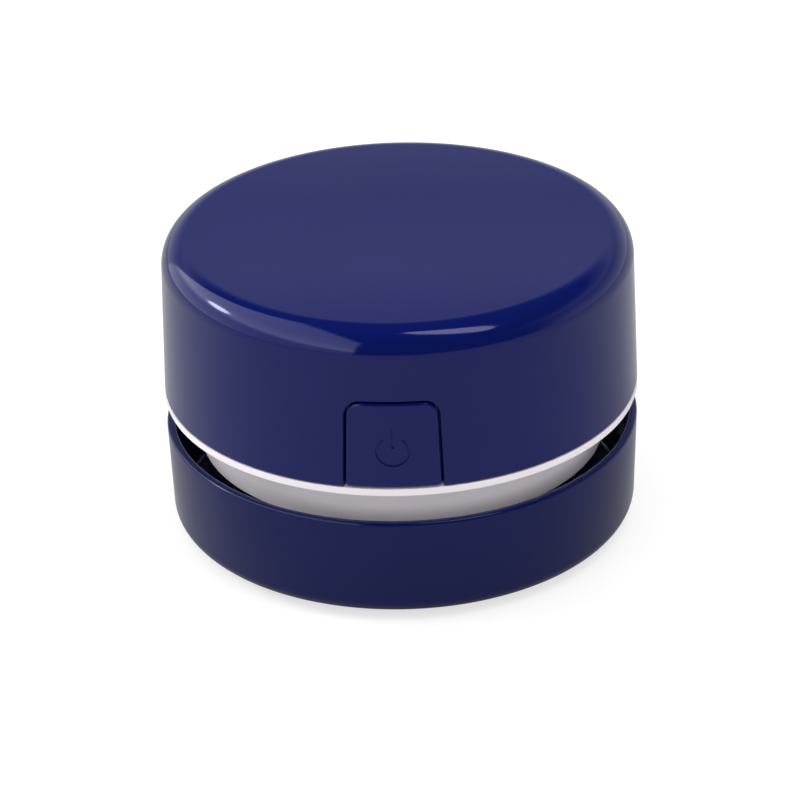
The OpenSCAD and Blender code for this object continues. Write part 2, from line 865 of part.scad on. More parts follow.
// A tube swept along points; no stretch of a wire runs along the side vector
module wire(route) {
    sides = 8;
    side_vector = [1, 0.31, 0.17];
    points = smooth_route(route, 4);
    last = len(points) - 1;
    rings = [
        for (k = [0 : last])
            let (
                way = unit(points[min(k + 1, last)] - points[max(k - 1, 0)]),
                u = unit(cross(way, side_vector)),
                v = cross(way, u)
            )
            for (s = [0 : sides - 1])
                points[k] + wire_r * (cos(360 * s / sides) * u + sin(360 * s / sides) * v)
    ];
    walls = [
        for (k = [0 : last - 1], s = [0 : sides - 1], half = [0, 1])
            let (a = k * sides + s, b = k * sides + (s + 1) % sides)
            half == 0 ? [a, a + sides, b] : [b, a + sides, b + sides]
    ];
    start_cap = [for (s = [0 : sides - 1]) s];
    end_cap = [for (s = [sides - 1 : -1 : 0]) last * sides + s];
    polyhedron(rings, concat(walls, [start_cap, end_cap]));
}

// From the positive contact, over the tray's front wall, to the circuit board
module wire_positive() {
    color("#b5302f") wire([
        [cell_x - 4, -tray_y + contact_t + wire_r + 0.15, tray_end_top - 1],
        [cell_x - 4, -tray_y + 0.2, tray_end_top + 1.9],
        [cell_x - 6.6, -tray_y - 2, tray_end_top + 0.5],
        [board_x - 1.6, -tray_y - 0.8, z_board + 4],
        [board_x - 1.4, y_switch + 0.48 * switch_d, z_board + 0.2]
    ]);
}

// From the negative contact, back past the switch, to the motor's left terminal
module wire_negative() {
    color("#26272b") wire([
        [-cell_x + 4, -tray_y + contact_t + wire_r + 0.15, tray_end_top - 1],
        [-cell_x + 5, -tray_y + 2.5, tray_end_top + 2.5],
        [-cell_x + 6.6, -tray_y + 11, tray_end_top + 3.1],
        [-terminal_x - 3.4, -10, z_motor_top - 5],
        [-terminal_x - 3.1, -3, z_motor_top - 0.4],
        [-terminal_x - wire_r - 0.25, 0, z_motor_top + 1.1]
    ]);
}

// From the circuit board to the motor's right terminal
module wire_motor() {
    color("#b5302f") wire([
        [board_x - 1.4, y_switch + 0.76 * switch_d, z_board + 0.2],
        [board_x - 0.4, y_switch + 0.93 * switch_d, z_board + 6],
        [terminal_x + 2, -12, z_motor_top - 8],
        [terminal_x + 3.1, -3, z_motor_top - 0.6],
        [terminal_x + wire_r + 0.25, 0, z_motor_top + 1.1]
    ]);
}

// ---- Rotor ----

// Back disc, hub and curved blades that face down to the inlet eye
module impeller() {
    color("#e9e7ea") difference() {
        union() {
            post(impeller_r, z_back, z_back_top);
            post(hub_r, z_blade, z_back_top);
            for (i = [0 : blade_count - 1]) {
                rotate(360 * i / blade_count) translate([0, 0, z_blade])
                    linear_extrude(z_back - z_blade + back_t / 2) blade_outline();
            }
        }
        post(shaft_r, z_blade - 1, z_back_top + 1);
    }
}

// A blade is a slice of a large ring that passes through the axis
module blade_outline() {
    intersection() {
        difference() {
            circle(r = impeller_r - 0.1);
            circle(r = blade_in_r);
        }
        translate([blade_bend_r, 0]) difference() {
            circle(r = blade_bend_r);
            circle(r = blade_bend_r - blade_t);
        }
        translate([-1, 0]) square([impeller_r + 1, impeller_r]);
    }
}

module motor_shaft() {
    color("#d8dade") post(shaft_r, z_blade + 0.2, z_motor_top + rear_boss_h - 0.2);
}

// Three-pole laminated core
module armature_core() {
    color("#8d9096") difference() {
        union() {
            post(2.6, core_z0, core_z1);
            for (i = [0 : pole_count - 1]) {
                rotate(360 * i / pole_count) {
                    translate([0, -pole_w / 2, core_z0])
                        cube([core_r - shoe_t / 2, pole_w, core_z1 - core_z0]);
                    intersection() {
                        ring(core_r, core_r - shoe_t, core_z0, core_z1);
                        shoe_wedge();
                    }
                }
            }
        }
        post(shaft_r, core_z0 - 1, core_z1 + 1);
    }
}

// Sector that one pole shoe fills
module shoe_wedge() {
    shoe_half = 48;
    reach = 2 * core_r;
    translate([0, 0, core_z0 - 1]) linear_extrude(core_z1 - core_z0 + 2) polygon([
        [0, 0], [reach * cos(shoe_half), -reach * sin(shoe_half)], [reach, 0],
        [reach * cos(shoe_half), reach * sin(shoe_half)]
    ]);
}

// A coil round each pole: a block with the pole taken out of it
module armature_coils() {
    coil_in = 2.8;
    coil_w = 4.4;
    color("#b4693c") for (i = [0 : pole_count - 1]) {
        rotate(360 * i / pole_count) difference() {
            intersection() {
                translate([coil_in, -coil_w / 2, core_z0 - coil_over])
                    cube([core_r, coil_w, core_z1 - core_z0 + 2 * coil_over]);
                post(core_r - shoe_t - fit_gap, core_z0 - coil_over, core_z1 + coil_over);
            }
            translate([0, -pole_w / 2 - fit_gap, core_z0 - fit_gap])
                cube([core_r, pole_w + 2 * fit_gap, core_z1 - core_z0 + 2 * fit_gap]);
        }
    }
}

module commutator() {
    slot_w = 0.3;
    z0 = core_z1 + coil_over + 0.4;
    z1 = z_end_cap + 1.4;
    color("#a86a3d") difference() {
        post(commutator_r, z0, z1);
        post(shaft_r, z0 - 1, z1 + 1);
        for (i = [0 : pole_count - 1]) {
            rotate(360 * i / pole_count + 60) translate([commutator_r - 0.6, -slot_w / 2, z0 - 1])
                cube([2, slot_w, z1 - z0 + 2]);
        }
    }
}

// ---- Casing and button ----

module casing_form(inset) {
    translate([0, 0, z_casing]) edge_form(
        body_r - inset, casing_draft, casing_h - inset, max(casing_edge - inset, inner_edge)
    );
}

module top_casing() {
    color("#20245a") difference() {
        union() {
            difference() {
                casing_form(0);
                casing_form(casing_wall);
            }
            intersection() {
                casing_form(casing_wall / 2);
                button_guides();
            }
        }
        translate([0, 0, z_casing - 1]) along_y(-body_r - 1, -body_r / 2) tab_outline(
            button_w + 2 * button_gap, button_top_w + 2 * button_gap,
            button_h + (z_button - z_casing) + button_gap + 1, button_edge + button_gap
        );
        for (side = [-1, 1]) {
            translate([side * retainer_screw_x, 0, retainer_screw_z])
                along_y(y_retainer - 2.6, y_retainer + 1) circle(r = pilot_r);
        }
    }
}

// Ribs beside the button's flange, and the bosses that its retainer is screwed to
module button_guides() {
    rib_t = 1;
    rib_x = flange_x + slide_gap;
    rib_y = y_retainer - slide_gap;
    for (side = [-1, 1]) {
        translate([side * retainer_screw_x, 0, retainer_screw_z])
            along_y(-body_r, y_retainer) circle(r = boss_r);
        translate([side * (rib_x + rib_t / 2) - rib_t / 2, -body_r, z_casing])
            cube([rib_t, body_r + rib_y, button_h + flange_w]);
    }
}

module button_retainer() {
    half_w = retainer_screw_x + boss_r - 0.3;
    low = z_casing + 1;
    high = retainer_screw_z + 7;
    color("#1a1d45") translate([0, y_retainer, 0]) difference() {
        translate([-half_w, 0, low]) cube([2 * half_w, retainer_t, high - low]);
        translate([0, 0, z_plunger]) along_y(-1, retainer_t + 1) circle(r = pusher_r + slide_gap);
        for (side = [-1, 1]) {
            translate([side * retainer_screw_x, 0, retainer_screw_z])
                along_y(-1, retainer_t + 1) circle(r = hole_r);
        }
    }
}

module button_retainer_screws() {
    color("silver") for (side = [-1, 1]) {
        translate([side * retainer_screw_x, y_retainer + retainer_t, retainer_screw_z])
            rotate([-90, 0, 0]) pan_screw(retainer_t + 2.2);
    }
}

// Tab in the casing's wall, a flange behind the wall, and a pusher for the switch
module power_button() {
    back_inset = casing_wall + slide_gap + flange_t;
    color("#1d2254") difference() {
        union() {
            intersection() {
                difference() {
                    casing_form(0);
                    casing_form(back_inset);
                    post(body_r - back_inset, z_casing - 1, z_button);
                }
                translate([0, 0, z_button]) along_y(-body_r - 1, -body_r / 2)
                    tab_outline(button_w, button_top_w, button_h, button_edge);
            }
            intersection() {
                difference() {
                    casing_form(casing_wall + slide_gap);
                    casing_form(back_inset);
                }
                translate([0, 0, z_button]) along_y(-body_r - 1, -body_r / 2) tab_outline(
                    2 * flange_x, 2 * flange_x, button_h + flange_w, button_edge + flange_w
                );
            }
            translate([0, 0, z_plunger]) along_y(-body_r + back_inset - flange_t, y_pusher)
                circle(r = pusher_r);
        }
        translate([0, 0, z_plunger])
            along_y(-body_r - 1, symbol_depth - casing_r_at(z_plunger)) power_symbol();
    }
}

// A circle open at the top, with an upright line in the opening
module power_symbol() {
    open_x = 2 * symbol_r * sin(symbol_open);
    open_z = 2 * symbol_r * cos(symbol_open);
    bar_low = 0.2 * symbol_r;
    bar_len = 1.3 * symbol_r;
    difference() {
        circle(r = symbol_r + symbol_line / 2);
        circle(r = symbol_r - symbol_line / 2);
        polygon([[0, 0], [open_x, open_z], [-open_x, open_z]]);
    }
    translate([-symbol_line / 2, bar_low]) square([symbol_line, bar_len]);
}

base_bowl();
dust_cup();
cup_screws();
glide_feet();
brush_ring();
brush_tufts();
seal_ring();
filter_frame();
filter_mesh();
filter_foam();
chassis();
fan_plate();
fan_plate_screws();
motor_can();
motor_end_cap();
motor_front_bush();
motor_rear_bush();
motor_magnets();
motor_terminals();
motor_brushes();
motor_clamp();
motor_clamp_screws();
battery_tray();
battery_tray_screws();
battery_left();
battery_right();
battery_springs();
contact_bridge();
contact_positive();
contact_negative();
switch_board();
switch_body();
switch_board_screws();
wire_positive();
wire_negative();
wire_motor();
switch_plunger();
impeller();
motor_shaft();
armature_core();
armature_coils();
commutator();
top_casing();
button_retainer();
button_retainer_screws();
power_button();
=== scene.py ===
import math
import random

import bmesh
import bpy
from mathutils import Matrix, Vector, noise


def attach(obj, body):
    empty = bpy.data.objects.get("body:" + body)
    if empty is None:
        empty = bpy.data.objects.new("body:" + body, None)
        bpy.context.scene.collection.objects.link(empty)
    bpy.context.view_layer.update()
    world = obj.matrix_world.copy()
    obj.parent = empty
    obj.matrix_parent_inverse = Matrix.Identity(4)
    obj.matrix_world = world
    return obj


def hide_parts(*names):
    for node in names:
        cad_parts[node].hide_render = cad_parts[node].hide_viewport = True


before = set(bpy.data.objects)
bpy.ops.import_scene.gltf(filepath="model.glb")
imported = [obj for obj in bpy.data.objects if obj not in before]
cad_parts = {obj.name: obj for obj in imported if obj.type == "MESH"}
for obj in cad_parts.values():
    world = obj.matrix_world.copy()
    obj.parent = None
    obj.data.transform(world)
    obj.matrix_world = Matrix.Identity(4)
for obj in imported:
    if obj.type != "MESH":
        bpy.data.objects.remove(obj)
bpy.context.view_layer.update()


# ---- Base bowl ----
# The dish that stands on the desk and carries everything else. Injection-moulded navy ABS, 1.5 mm
# thick and polished outside, with a rounded-over rim. Its floor steps up round the suction inlet,
# which leaves the recess for the brush under it.
MM = 0.001
TURN_STEPS = 256
SHARP = math.radians(32)  # an edge that turns more than this stays an edge in the shading
WELD = 1e-6  # metres; points nearer than this are one point


def turn(bm, outline, steps=TURN_STEPS, place=None, closed=True):
    """Spins an outline of (radius, height, corner radius), in mm, round the Z axis into bm. An
    open outline, such as half a shell, gives closed=False."""
    spun = bmesh.new()
    corners = [spun.verts.new((r * MM, 0, z * MM)) for r, z, _ in outline]
    pairs = zip(corners, corners[1:] + corners[:1]) if closed else zip(corners, corners[1:])
    for pair in pairs:
        spun.edges.new(pair)
    for corner, (_, _, radius) in zip(corners, outline):
        if radius:
            here, ends = corner.co, [e.other_vert(corner).co for e in corner.link_edges]
            bend = math.pi - (ends[0] - here).angle(ends[1] - here)
            bmesh.ops.bevel(
                spun, geom=[corner], offset=radius * MM * math.tan(bend / 2), profile=0.5,
                segments=max(3, round(3 + 2 * radius)), affect="VERTICES", material=-1,
            )
    bmesh.ops.spin(
        spun, geom=spun.verts[:] + spun.edges[:], cent=(0, 0, 0), axis=(0, 0, 1), dvec=(0, 0, 0),
        angle=2 * math.pi, steps=steps, use_merge=True,
    )
    bmesh.ops.remove_doubles(spun, verts=spun.verts, dist=WELD)
    bmesh.ops.recalc_face_normals(spun, faces=spun.faces)
    join(bm, spun, place)


def join(bm, part, place=None):
    """Adds the bmesh part to bm, moved by the matrix place."""
    if place is not None:
        part.transform(place)
    mesh = bpy.data.meshes.new("joined")
    part.to_mesh(mesh)
    part.free()
    bm.from_mesh(mesh)
    bpy.data.meshes.remove(mesh)


def on_ring(radius, count, start=0.0):
    """Matrices that place a thing on a circle, in mm and degrees."""
    for i in range(count):
        angle = math.radians(start) + 2 * math.pi * i / count
        yield Matrix.Rotation(angle, 4, "Z") @ Matrix.Translation((radius * MM, 0, 0))


def piece(bm, name, material, body, stands_for=(), sharp=SHARP):
    """Makes bm an object that rides on a body and stands for the CAD nodes it replaces."""
    mesh = bpy.data.meshes.new(name)
    bm.to_mesh(mesh)
    bm.free()
    mesh.shade_smooth()
    mesh.set_sharp_from_angle(angle=sharp)
    mesh.materials.append(material)
    made = bpy.data.objects.new(name, mesh)
    bpy.context.scene.collection.objects.link(made)
    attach(made, body)
    if stands_for:
        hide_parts(*stands_for)
    return made


def srgb(code):
    """A hex colour such as "2a2c5e" as linear RGBA."""
    parts = [int(code[i:i + 2], 16) / 255 for i in (0, 2, 4)]
    return [c / 12.92 if c <= 0.04045 else ((c + 0.055) / 1.055) ** 2.4 for c in parts] + [1.0]


def add(tree, kind, inputs=None, **settings):
    """Adds one node with its settings; an input is a value or another node's output."""
    made = tree.nodes.new(kind)
    for key, value in settings.items():
        setattr(made, key, value)
    for key, value in (inputs or {}).items():
        if isinstance(value, bpy.types.NodeSocket):
            tree.links.new(value, made.inputs[key])
        else:
            made.inputs[key].default_value = value
    return made


def start_finish(name, **sockets):
    """A new material with its shader; the rest of its nodes are added after."""
    material = bpy.data.materials.new(name)
    material.use_nodes = True
    tree = material.node_tree
    tree.nodes.clear()
    shader = add(tree, "ShaderNodeBsdfPrincipled", {
        key.replace("_", " "): value for key, value in sockets.items()
    })
    add(tree, "ShaderNodeOutputMaterial", {"Surface": shader.outputs["BSDF"]})
    return material, tree, shader


def lay_on(tree, shader, drift, height, colours, spread, roughness, relief):
    """Lets the pattern drift vary the colour and the gloss, and raises height by relief mm."""
    tint = add(tree, "ShaderNodeMix", {"Factor": drift, "A": srgb(colours[0]),
                                       "B": srgb(colours[1])}, data_type="RGBA")
    tree.links.new(tint.outputs["Result"], shader.inputs["Base Color"])
    gloss = add(tree, "ShaderNodeMapRange", {"Value": drift, "From Min": 0.5 - spread,
                                             "From Max": 0.5 + spread, "To Min": roughness[0],
                                             "To Max": roughness[1]})
    tree.links.new(gloss.outputs["Result"], shader.inputs["Roughness"])
    bump = add(tree, "ShaderNodeBump", {"Height": height, "Strength": 1.0,
                                        "Distance": relief * MM})
    tree.links.new(bump.outputs["Normal"], shader.inputs["Normal"])


def moulded(name, colour, shade, roughness, cloud, grain, relief, **sockets):
    """Moulded plastic: its pigment drifts between two colours over cloud mm, and the tool's
    polish or spark-eroded grain, grain mm wide and relief mm deep, breaks up the gloss."""
    material, tree, shader = start_finish(name, **sockets)
    place = add(tree, "ShaderNodeTexCoord").outputs["Object"]
    drift = add(tree, "ShaderNodeTexNoise", {"Vector": place, "Scale": 1 / (cloud * MM),
                                             "Detail": 3.0, "Roughness": 0.55})
    skin = add(tree, "ShaderNodeTexNoise", {"Vector": place, "Scale": 1 / (grain * MM),
                                            "Detail": 2.0, "Roughness": 0.5})
    lay_on(tree, shader, drift.outputs["Fac"], skin.outputs["Fac"], (colour, shade), 0.2,
           roughness, relief)
    return material


# Polished ABS: deep gloss over a navy pigment, with the faint waviness of a moulded skin.
gloss_abs = moulded("abs_navy_polished", "071355", "06114e", (0.07, 0.11), 22, 3.2, 0.0016,
                    IOR=1.5, Specular_Tint=(0.68, 0.66, 1.0, 1.0))
# The base uses a darker copy of the casing's navy: painted shade, for the dimmer light that
# reaches the lower part of the object.
shaded_base_abs = moulded("abs_navy_painted_shade_polished", "071249", "060f42", (0.08, 0.12), 22, 3.2, 0.0016,
                   IOR=1.42, Specular_Tint=(0.72, 0.72, 1.0, 1.0))

# From the foot up the outside, over the rim, down the inside and back along the underside.
bowl = bmesh.new()
turn(bowl, [
    (41.5, 1.2, 2.8), (42.0, 19.4, 0.5), (40.5, 19.4, 0.4), (40.0, 2.6, 1.3), (30.2, 2.6, 0.5),
    (30.2, 5.2, 0.4), (9.25, 5.2, 0.15), (9.25, 3.8, 0.2), (29.0, 3.8, 0.5), (29.0, 1.2, 0.3),
])
piece(bowl, "base_bowl_shell", shaded_base_abs, "dust_base", ["base_bowl"])


# ---- Glide feet ----
# Four round pads of grey acetal, pressed into pockets in the bowl's underside so that the vacuum
# slides over a desk. Moulded with a rounded running edge; the running face is worn smooth.
FOOT_RING, FOOT_COUNT = 34.45, 4
# Acetal has a waxy satin surface.
foot_acetal = moulded("acetal_grey_satin", "35363b", "2e2f34", (0.38, 0.5), 3, 0.3, 0.004)
feet = bmesh.new()
for place in on_ring(FOOT_RING, FOOT_COUNT, 45):
    turn(feet, [(0, 0.12, 0), (1.9, 0.0, 0.4), (2.7, 0.12, 0.5), (3.0, 0.8, 0.4), (3.0, 2.0, 0),
                (0, 2.0, 0)], 48, place)
piece(feet, "glide_foot_pads", foot_acetal, "dust_base", ["glide_feet"])


# ---- Brush ring ----
# A flat ring of black nylon glued into the recess, with two rows of tufts stapled into it. Each
# tuft is a bundle of stiff nylon filaments, cut level just clear of the desk.
BRUSH_ROOT, BRUSH_TIP = 2.8, 0.2
TUFT_ROW, TUFT_R = 44, 0.56
TUFT_FILAMENTS, FILAMENT_R = 15, 0.085
# Matte nylon keeps the ring dark behind its tufts.
brush_nylon = moulded("nylon_black_matte", "1c1d20", "17181b", (0.5, 0.62), 6, 0.4, 0.006)
# Drawing the filaments leaves a soft sheen along them. They are fewer and thicker than in a real
# tuft, so that they show.
filament_nylon = moulded("nylon_filament_drawn", "3c3e45", "2a2c31", (0.3, 0.4), 1.5, 0.2, 0.001)
backing = bmesh.new()
turn(backing, [(23.0, 2.8, 0.25), (27.4, 2.8, 0.25), (27.4, 3.8, 0.1), (23.0, 3.8, 0.1)], 192)
piece(backing, "brush_backing_ring", brush_nylon, "dust_base", ["brush_ring"])


def push_out(bm, faces, vec, keep=True):
    """Extrudes faces by vec, and returns the new geometry."""
    grown = bmesh.ops.extrude_face_region(bm, geom=faces, use_keep_orig=keep)["geom"]
    bmesh.ops.translate(bm, vec=vec,
                        verts=[v for v in grown if isinstance(v, bmesh.types.BMVert)])
    return grown


dice = random.Random(4)
tufts = bmesh.new()
for ring_r, lead in ((24.1, 0.0), (26.3, 180 / TUFT_ROW)):
    for place in on_ring(ring_r, TUFT_ROW, lead):
        tuft = bmesh.new()
        for _ in range(TUFT_FILAMENTS):
            turn_by, out = dice.uniform(0, 2 * math.pi), TUFT_R * math.sqrt(dice.random())
            root = Vector((out * math.cos(turn_by), out * math.sin(turn_by), BRUSH_ROOT + 0.1))
            tip = root * dice.uniform(1.05, 1.4)
            tip.z = BRUSH_TIP + dice.uniform(0.0, 0.12)
            made = bmesh.ops.create_circle(tuft, cap_ends=True, segments=5,
                                           radius=FILAMENT_R * MM)
            bmesh.ops.translate(tuft, verts=made["verts"], vec=root * MM)
            push_out(tuft, made["verts"][0].link_faces[:], (tip - root) * MM)
        bmesh.ops.recalc_face_normals(tuft, faces=tuft.faces)
        join(tufts, tuft, place)
piece(tufts, "brush_tuft_filaments", filament_nylon, "dust_base",
      ["brush_tufts"])


# ---- Dust cup ----
# The black ABS insert that collects the dust: a collar that holds the filter, a floor, and the
# chimney that the air rises through. Moulded with a spark-eroded matte finish, screwed from below.
SCREW_BOSS_RING = 17.1
# Spark erosion leaves an even grain that breaks up every reflection. It is coarser here than a
# real one, so that it shows.
matte_abs = moulded("abs_black_spark_eroded", "191a1d", "131417", (0.42, 0.55), 10, 0.35, 0.008)
cup = bmesh.new()
turn(cup, [
    (8.0, 3.8, 0.2), (9.2, 3.8, 0.2), (9.2, 5.2, 0), (31.0, 5.2, 0.3), (31.0, 14.15, 0.1),
    (30.15, 14.15, 0.3), (30.15, 15.25, 0.3), (31.0, 15.25, 0.1), (31.0, 16.7, 0.3),
    (29.4, 16.7, 0.2), (29.4, 13.6, 0), (28.0, 13.6, 0.2), (28.0, 12.6, 0.2), (29.4, 12.6, 0),
    (29.4, 6.2, 0.6), (9.2, 6.2, 0.6), (9.2, 11.1, 0.25), (8.0, 11.1, 0.35),
], 192)
for place in on_ring(SCREW_BOSS_RING, 3, 90):
    turn(cup, [(0, 5.4, 0), (2.3, 5.4, 0), (2.3, 9.2, 0.3), (0, 9.2, 0)], 40, place)
piece(cup, "dust_cup_insert", matte_abs, "dust_base", ["dust_cup"])


# ---- Screws ----
# Small cross-recessed screws, cold-headed from steel wire and zinc plated: three hold the cup in
# the bowl, and the others hold the plates, the tray, the board and the retainer further up.
def worked(name, colour, shade, roughness, streak, relief, **sockets):
    """Bare or plated metal: a tool or roller leaves fine streaks, streak mm long and narrow."""
    material, tree, shader = start_finish(name, Metallic=1.0, **sockets)
    place = add(tree, "ShaderNodeTexCoord").outputs["Object"]
    along = add(tree, "ShaderNodeMapping", {"Vector": place, "Scale": streak})
    lines = add(tree, "ShaderNodeTexNoise", {"Vector": along.outputs["Vector"],
                                             "Scale": 1 / MM, "Detail": 4.0, "Roughness": 0.6})
    lay_on(tree, shader, lines.outputs["Fac"], lines.outputs["Fac"], (colour, shade), 0.15,
           roughness, relief)
    return material


def dressed(node, name, material, body, edge=0.15, segments=2, subdivide=0):
    """A copy of a CAD node with its sharp edges broken by edge mm, as a mould or a press leaves
    them. A thin round piece, such as a wire, is subdivided instead."""
    copy = bmesh.new()
    copy.from_mesh(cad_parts[node].data)
    bmesh.ops.remove_doubles(copy, verts=copy.verts, dist=WELD)
    bmesh.ops.dissolve_limit(copy, angle_limit=math.radians(0.6), verts=copy.verts,
                             edges=copy.edges, delimit={"NORMAL"})
    made = piece(copy, name, material, body, [node])
    if edge:
        bevel = made.modifiers.new("edge", "BEVEL")
        bevel.width, bevel.segments = edge * MM, segments
        bevel.limit_method, bevel.angle_limit = "ANGLE", math.radians(38)
        bevel.harden_normals, bevel.miter_outer = True, "MITER_ARC"
    if subdivide:
        smooth = made.modifiers.new("smooth", "SUBSURF")
        smooth.levels = smooth.render_levels = subdivide
    return made


# Zinc plate is bright and a little blue, with faint streaks from the heading die.
zinc_steel = worked("steel_zinc_plated", "b9bcc2", "a2a6ae", (0.22, 0.34), (1, 1, 1), 0.001)
for node, body in (
    ("cup_screws", "dust_base"), ("fan_plate_screws", "drive_unit"),
    ("motor_clamp_screws", "drive_unit"), ("battery_tray_screws", "drive_unit"),
    ("switch_board_screws", "drive_unit"), ("button_retainer_screws", "casing"),
):
    dressed(node, node + "_plated", zinc_steel, body, 0.12)


# ---- Seal ring ----
# An O-ring of black nitrile rubber in the cup's groove. The fan plate's lip slides over it and
# it keeps the air from going past the filter.
SEAL_IN, SEAL_OUT, SEAL_LOW, SEAL_HIGH, SEAL_ROUND = 30.1, 31.2, 14.15, 15.25, 0.54
# Nitrile rubber hardly shines: only its crown catches a dull light.
nitrile = moulded("rubber_nitrile_black", "1d1e20", "26272a", (0.5, 0.62), 4, 0.25, 0.003)
seal = bmesh.new()
turn(seal, [(r, z, SEAL_ROUND) for r, z in (
    (SEAL_IN, SEAL_LOW), (SEAL_OUT, SEAL_LOW), (SEAL_OUT, SEAL_HIGH), (SEAL_IN, SEAL_HIGH),
)], 192)
piece(seal, "seal_o_ring", nitrile, "dust_base", ["seal_ring"])


# ---- Filter cartridge ----
# A white ABS ring with six spokes that sits on the cup's ledge. It carries a woven nylon mesh,
# which stops crumbs, and over it a disc of dark open-cell foam, which stops fine dust.
FILTER_R = 27.7
MESH_Z, THREAD_PITCH, THREAD_R, THREAD_WAVE = 14.6, 1.4, 0.06, 0.04
# White ABS from a finely ground tool: a soft, wide sheen.
white_abs = moulded("abs_white_satin", "faf4f9", "f4eef4", (0.26, 0.34), 14, 0.5, 0.003, IOR=1.5)
# Pale nylon thread with a slight shine. The weave is coarser than a real one, so that it shows.
mesh_nylon = moulded("nylon_thread_woven", "b9bdc6", "a9adb8", (0.35, 0.5), 2, 0.2, 0.001)
dressed("filter_frame", "filter_ring", white_abs, "filter_cartridge")

weave = bmesh.new()
threads = int(FILTER_R / THREAD_PITCH)
for over in (0, 1):
    for i in range(-threads, threads + 1):
        across = i * THREAD_PITCH
        half = math.sqrt(FILTER_R ** 2 - across ** 2)
        steps = max(4, 2 * round(half / (THREAD_PITCH / 2)))
        thread = bmesh.new()
        ring = bmesh.ops.create_circle(
            thread, cap_ends=True, segments=4, radius=THREAD_R * MM,
            matrix=Matrix.Rotation(math.pi / 2, 4, "Y"),
        )
        bmesh.ops.translate(thread, verts=ring["verts"], vec=(-half * MM, across * MM, 0))
        face = thread.faces[:]
        for _ in range(steps):
            grown = push_out(thread, face, (2 * half / steps * MM, 0, 0), keep=False)
            bmesh.ops.delete(thread, geom=face, context="FACES_ONLY")
            face = [f for f in grown if isinstance(f, bmesh.types.BMFace)]
        for v in thread.verts:
            wave = math.cos(math.pi * (v.co.x / MM / THREAD_PITCH + i))
            v.co.z += (MESH_Z + (THREAD_WAVE if over else -THREAD_WAVE) * wave) * MM
        if over:
            thread.transform(Matrix.Rotation(math.pi / 2, 4, "Z"))
        join(weave, thread)
bmesh.ops.recalc_face_normals(weave, faces=weave.faces)
piece(weave, "filter_woven_mesh", mesh_nylon, "filter_cartridge", ["filter_mesh"])

# Polyether foam, cut from a block: open cells about a millimetre across, and no shine at all.
# The hollows of the cells are painted dark as shade, and the walls between them lighter.
foam, tree, shader = start_finish("foam_polyether_open_cell", Roughness=0.95, IOR=1.35)
place = add(tree, "ShaderNodeTexCoord").outputs["Object"]
cells = add(tree, "ShaderNodeTexVoronoi", {"Vector": place, "Scale": 1 / (0.95 * MM),
                                           "Randomness": 0.9}, feature="DISTANCE_TO_EDGE")
walls_and_pore_shade = add(tree, "ShaderNodeMapRange", {"Value": cells.outputs["Distance"], "From Min": 0.02,
                                         "From Max": 0.3, "To Min": 1.0, "To Max": 0.0})
# Painted shade: dark in the middle of each cell, lighter along its walls.
tint = add(tree, "ShaderNodeMix", {"Factor": walls_and_pore_shade.outputs["Result"], "A": srgb("0f1012"),
                                   "B": srgb("4a4d54")}, data_type="RGBA")
tree.links.new(tint.outputs["Result"], shader.inputs["Base Color"])
bump = add(tree, "ShaderNodeBump", {"Height": walls_and_pore_shade.outputs["Result"], "Strength": 1.0,
                                    "Distance": 0.3 * MM})
tree.links.new(bump.outputs["Normal"], shader.inputs["Normal"])
FOAM_LOW, FOAM_HIGH, PORE_DEPTH, PORE_WIDTH = 14.75, 16.65, 0.16, 1.1
disc = bmesh.new()
under = [(r, FOAM_LOW, 0) for r in range(0, 27, 3)]
top = [(r, FOAM_HIGH, 0) for r in (*range(26, 1, -1), 0)]
turn(disc, under + [(FILTER_R, FOAM_LOW, 0.3), (FILTER_R, FOAM_HIGH, 0.4)] + top, 144)
for v in disc.verts:
    if v.co.z > 16 * MM:
        v.co.z -= PORE_DEPTH * MM * abs(noise.noise(v.co / (PORE_WIDTH * MM)))
piece(disc, "filter_foam_disc", foam, "filter_cartridge", ["filter_foam"],
      sharp=math.radians(60))


# ---- Chassis ----
# One white ABS moulding: the thin ring that shows between base and casing, the deck behind it,
# the skirt that goes down into the bowl, and the posts and rims that everything is fixed to.
dressed("chassis", "chassis_moulding", white_abs, "drive_unit", 0.2, 3)


# ---- Fan plate and impeller ----
# The black ABS plate closes the fan chamber from below and leaves the inlet eye open. The
# impeller is white ABS with curved blades, pressed on the motor's shaft.
dressed("fan_plate", "fan_plate_moulding", matte_abs, "drive_unit")
dressed("impeller", "impeller_moulding", white_abs, "fan_rotor", 0.12)


# ---- Motor ----
# A brushed toy motor with two flats. The can is deep-drawn from plated steel sheet, so its front
# edge is rounded; a natural nylon cap closes the back, with sintered bronze bushes at both ends.
CAN_R, CAN_FLAT, CAN_LOW, CAN_TALL, CAN_SHEET = 10.05, 7.55, 24.7, 19.2, 0.6
# Deep drawing stretches fine streaks up the can.
drawn_steel = worked("steel_deep_drawn", "c3c6cb", "a9adb4", (0.2, 0.32), (2.2, 2.2, 0.12), 0.002)
# Sintered bronze is porous and dull, and dark with oil.
bronze = worked("bronze_sintered", "a9825a", "8f6b46", (0.4, 0.55), (2, 2, 2), 0.004)
# Natural nylon lets a little light into its surface.
nylon = moulded("nylon_natural", "e3dfd3", "dbd6c8", (0.35, 0.45), 8, 0.4, 0.003, IOR=1.53,
                Subsurface_Weight=0.15, Subsurface_Scale=0.002)
# Ferrite is a dark, dry ceramic.
ferrite = moulded("ferrite_sintered", "3a3a3d", "2f3033", (0.6, 0.75), 2, 0.3, 0.01)
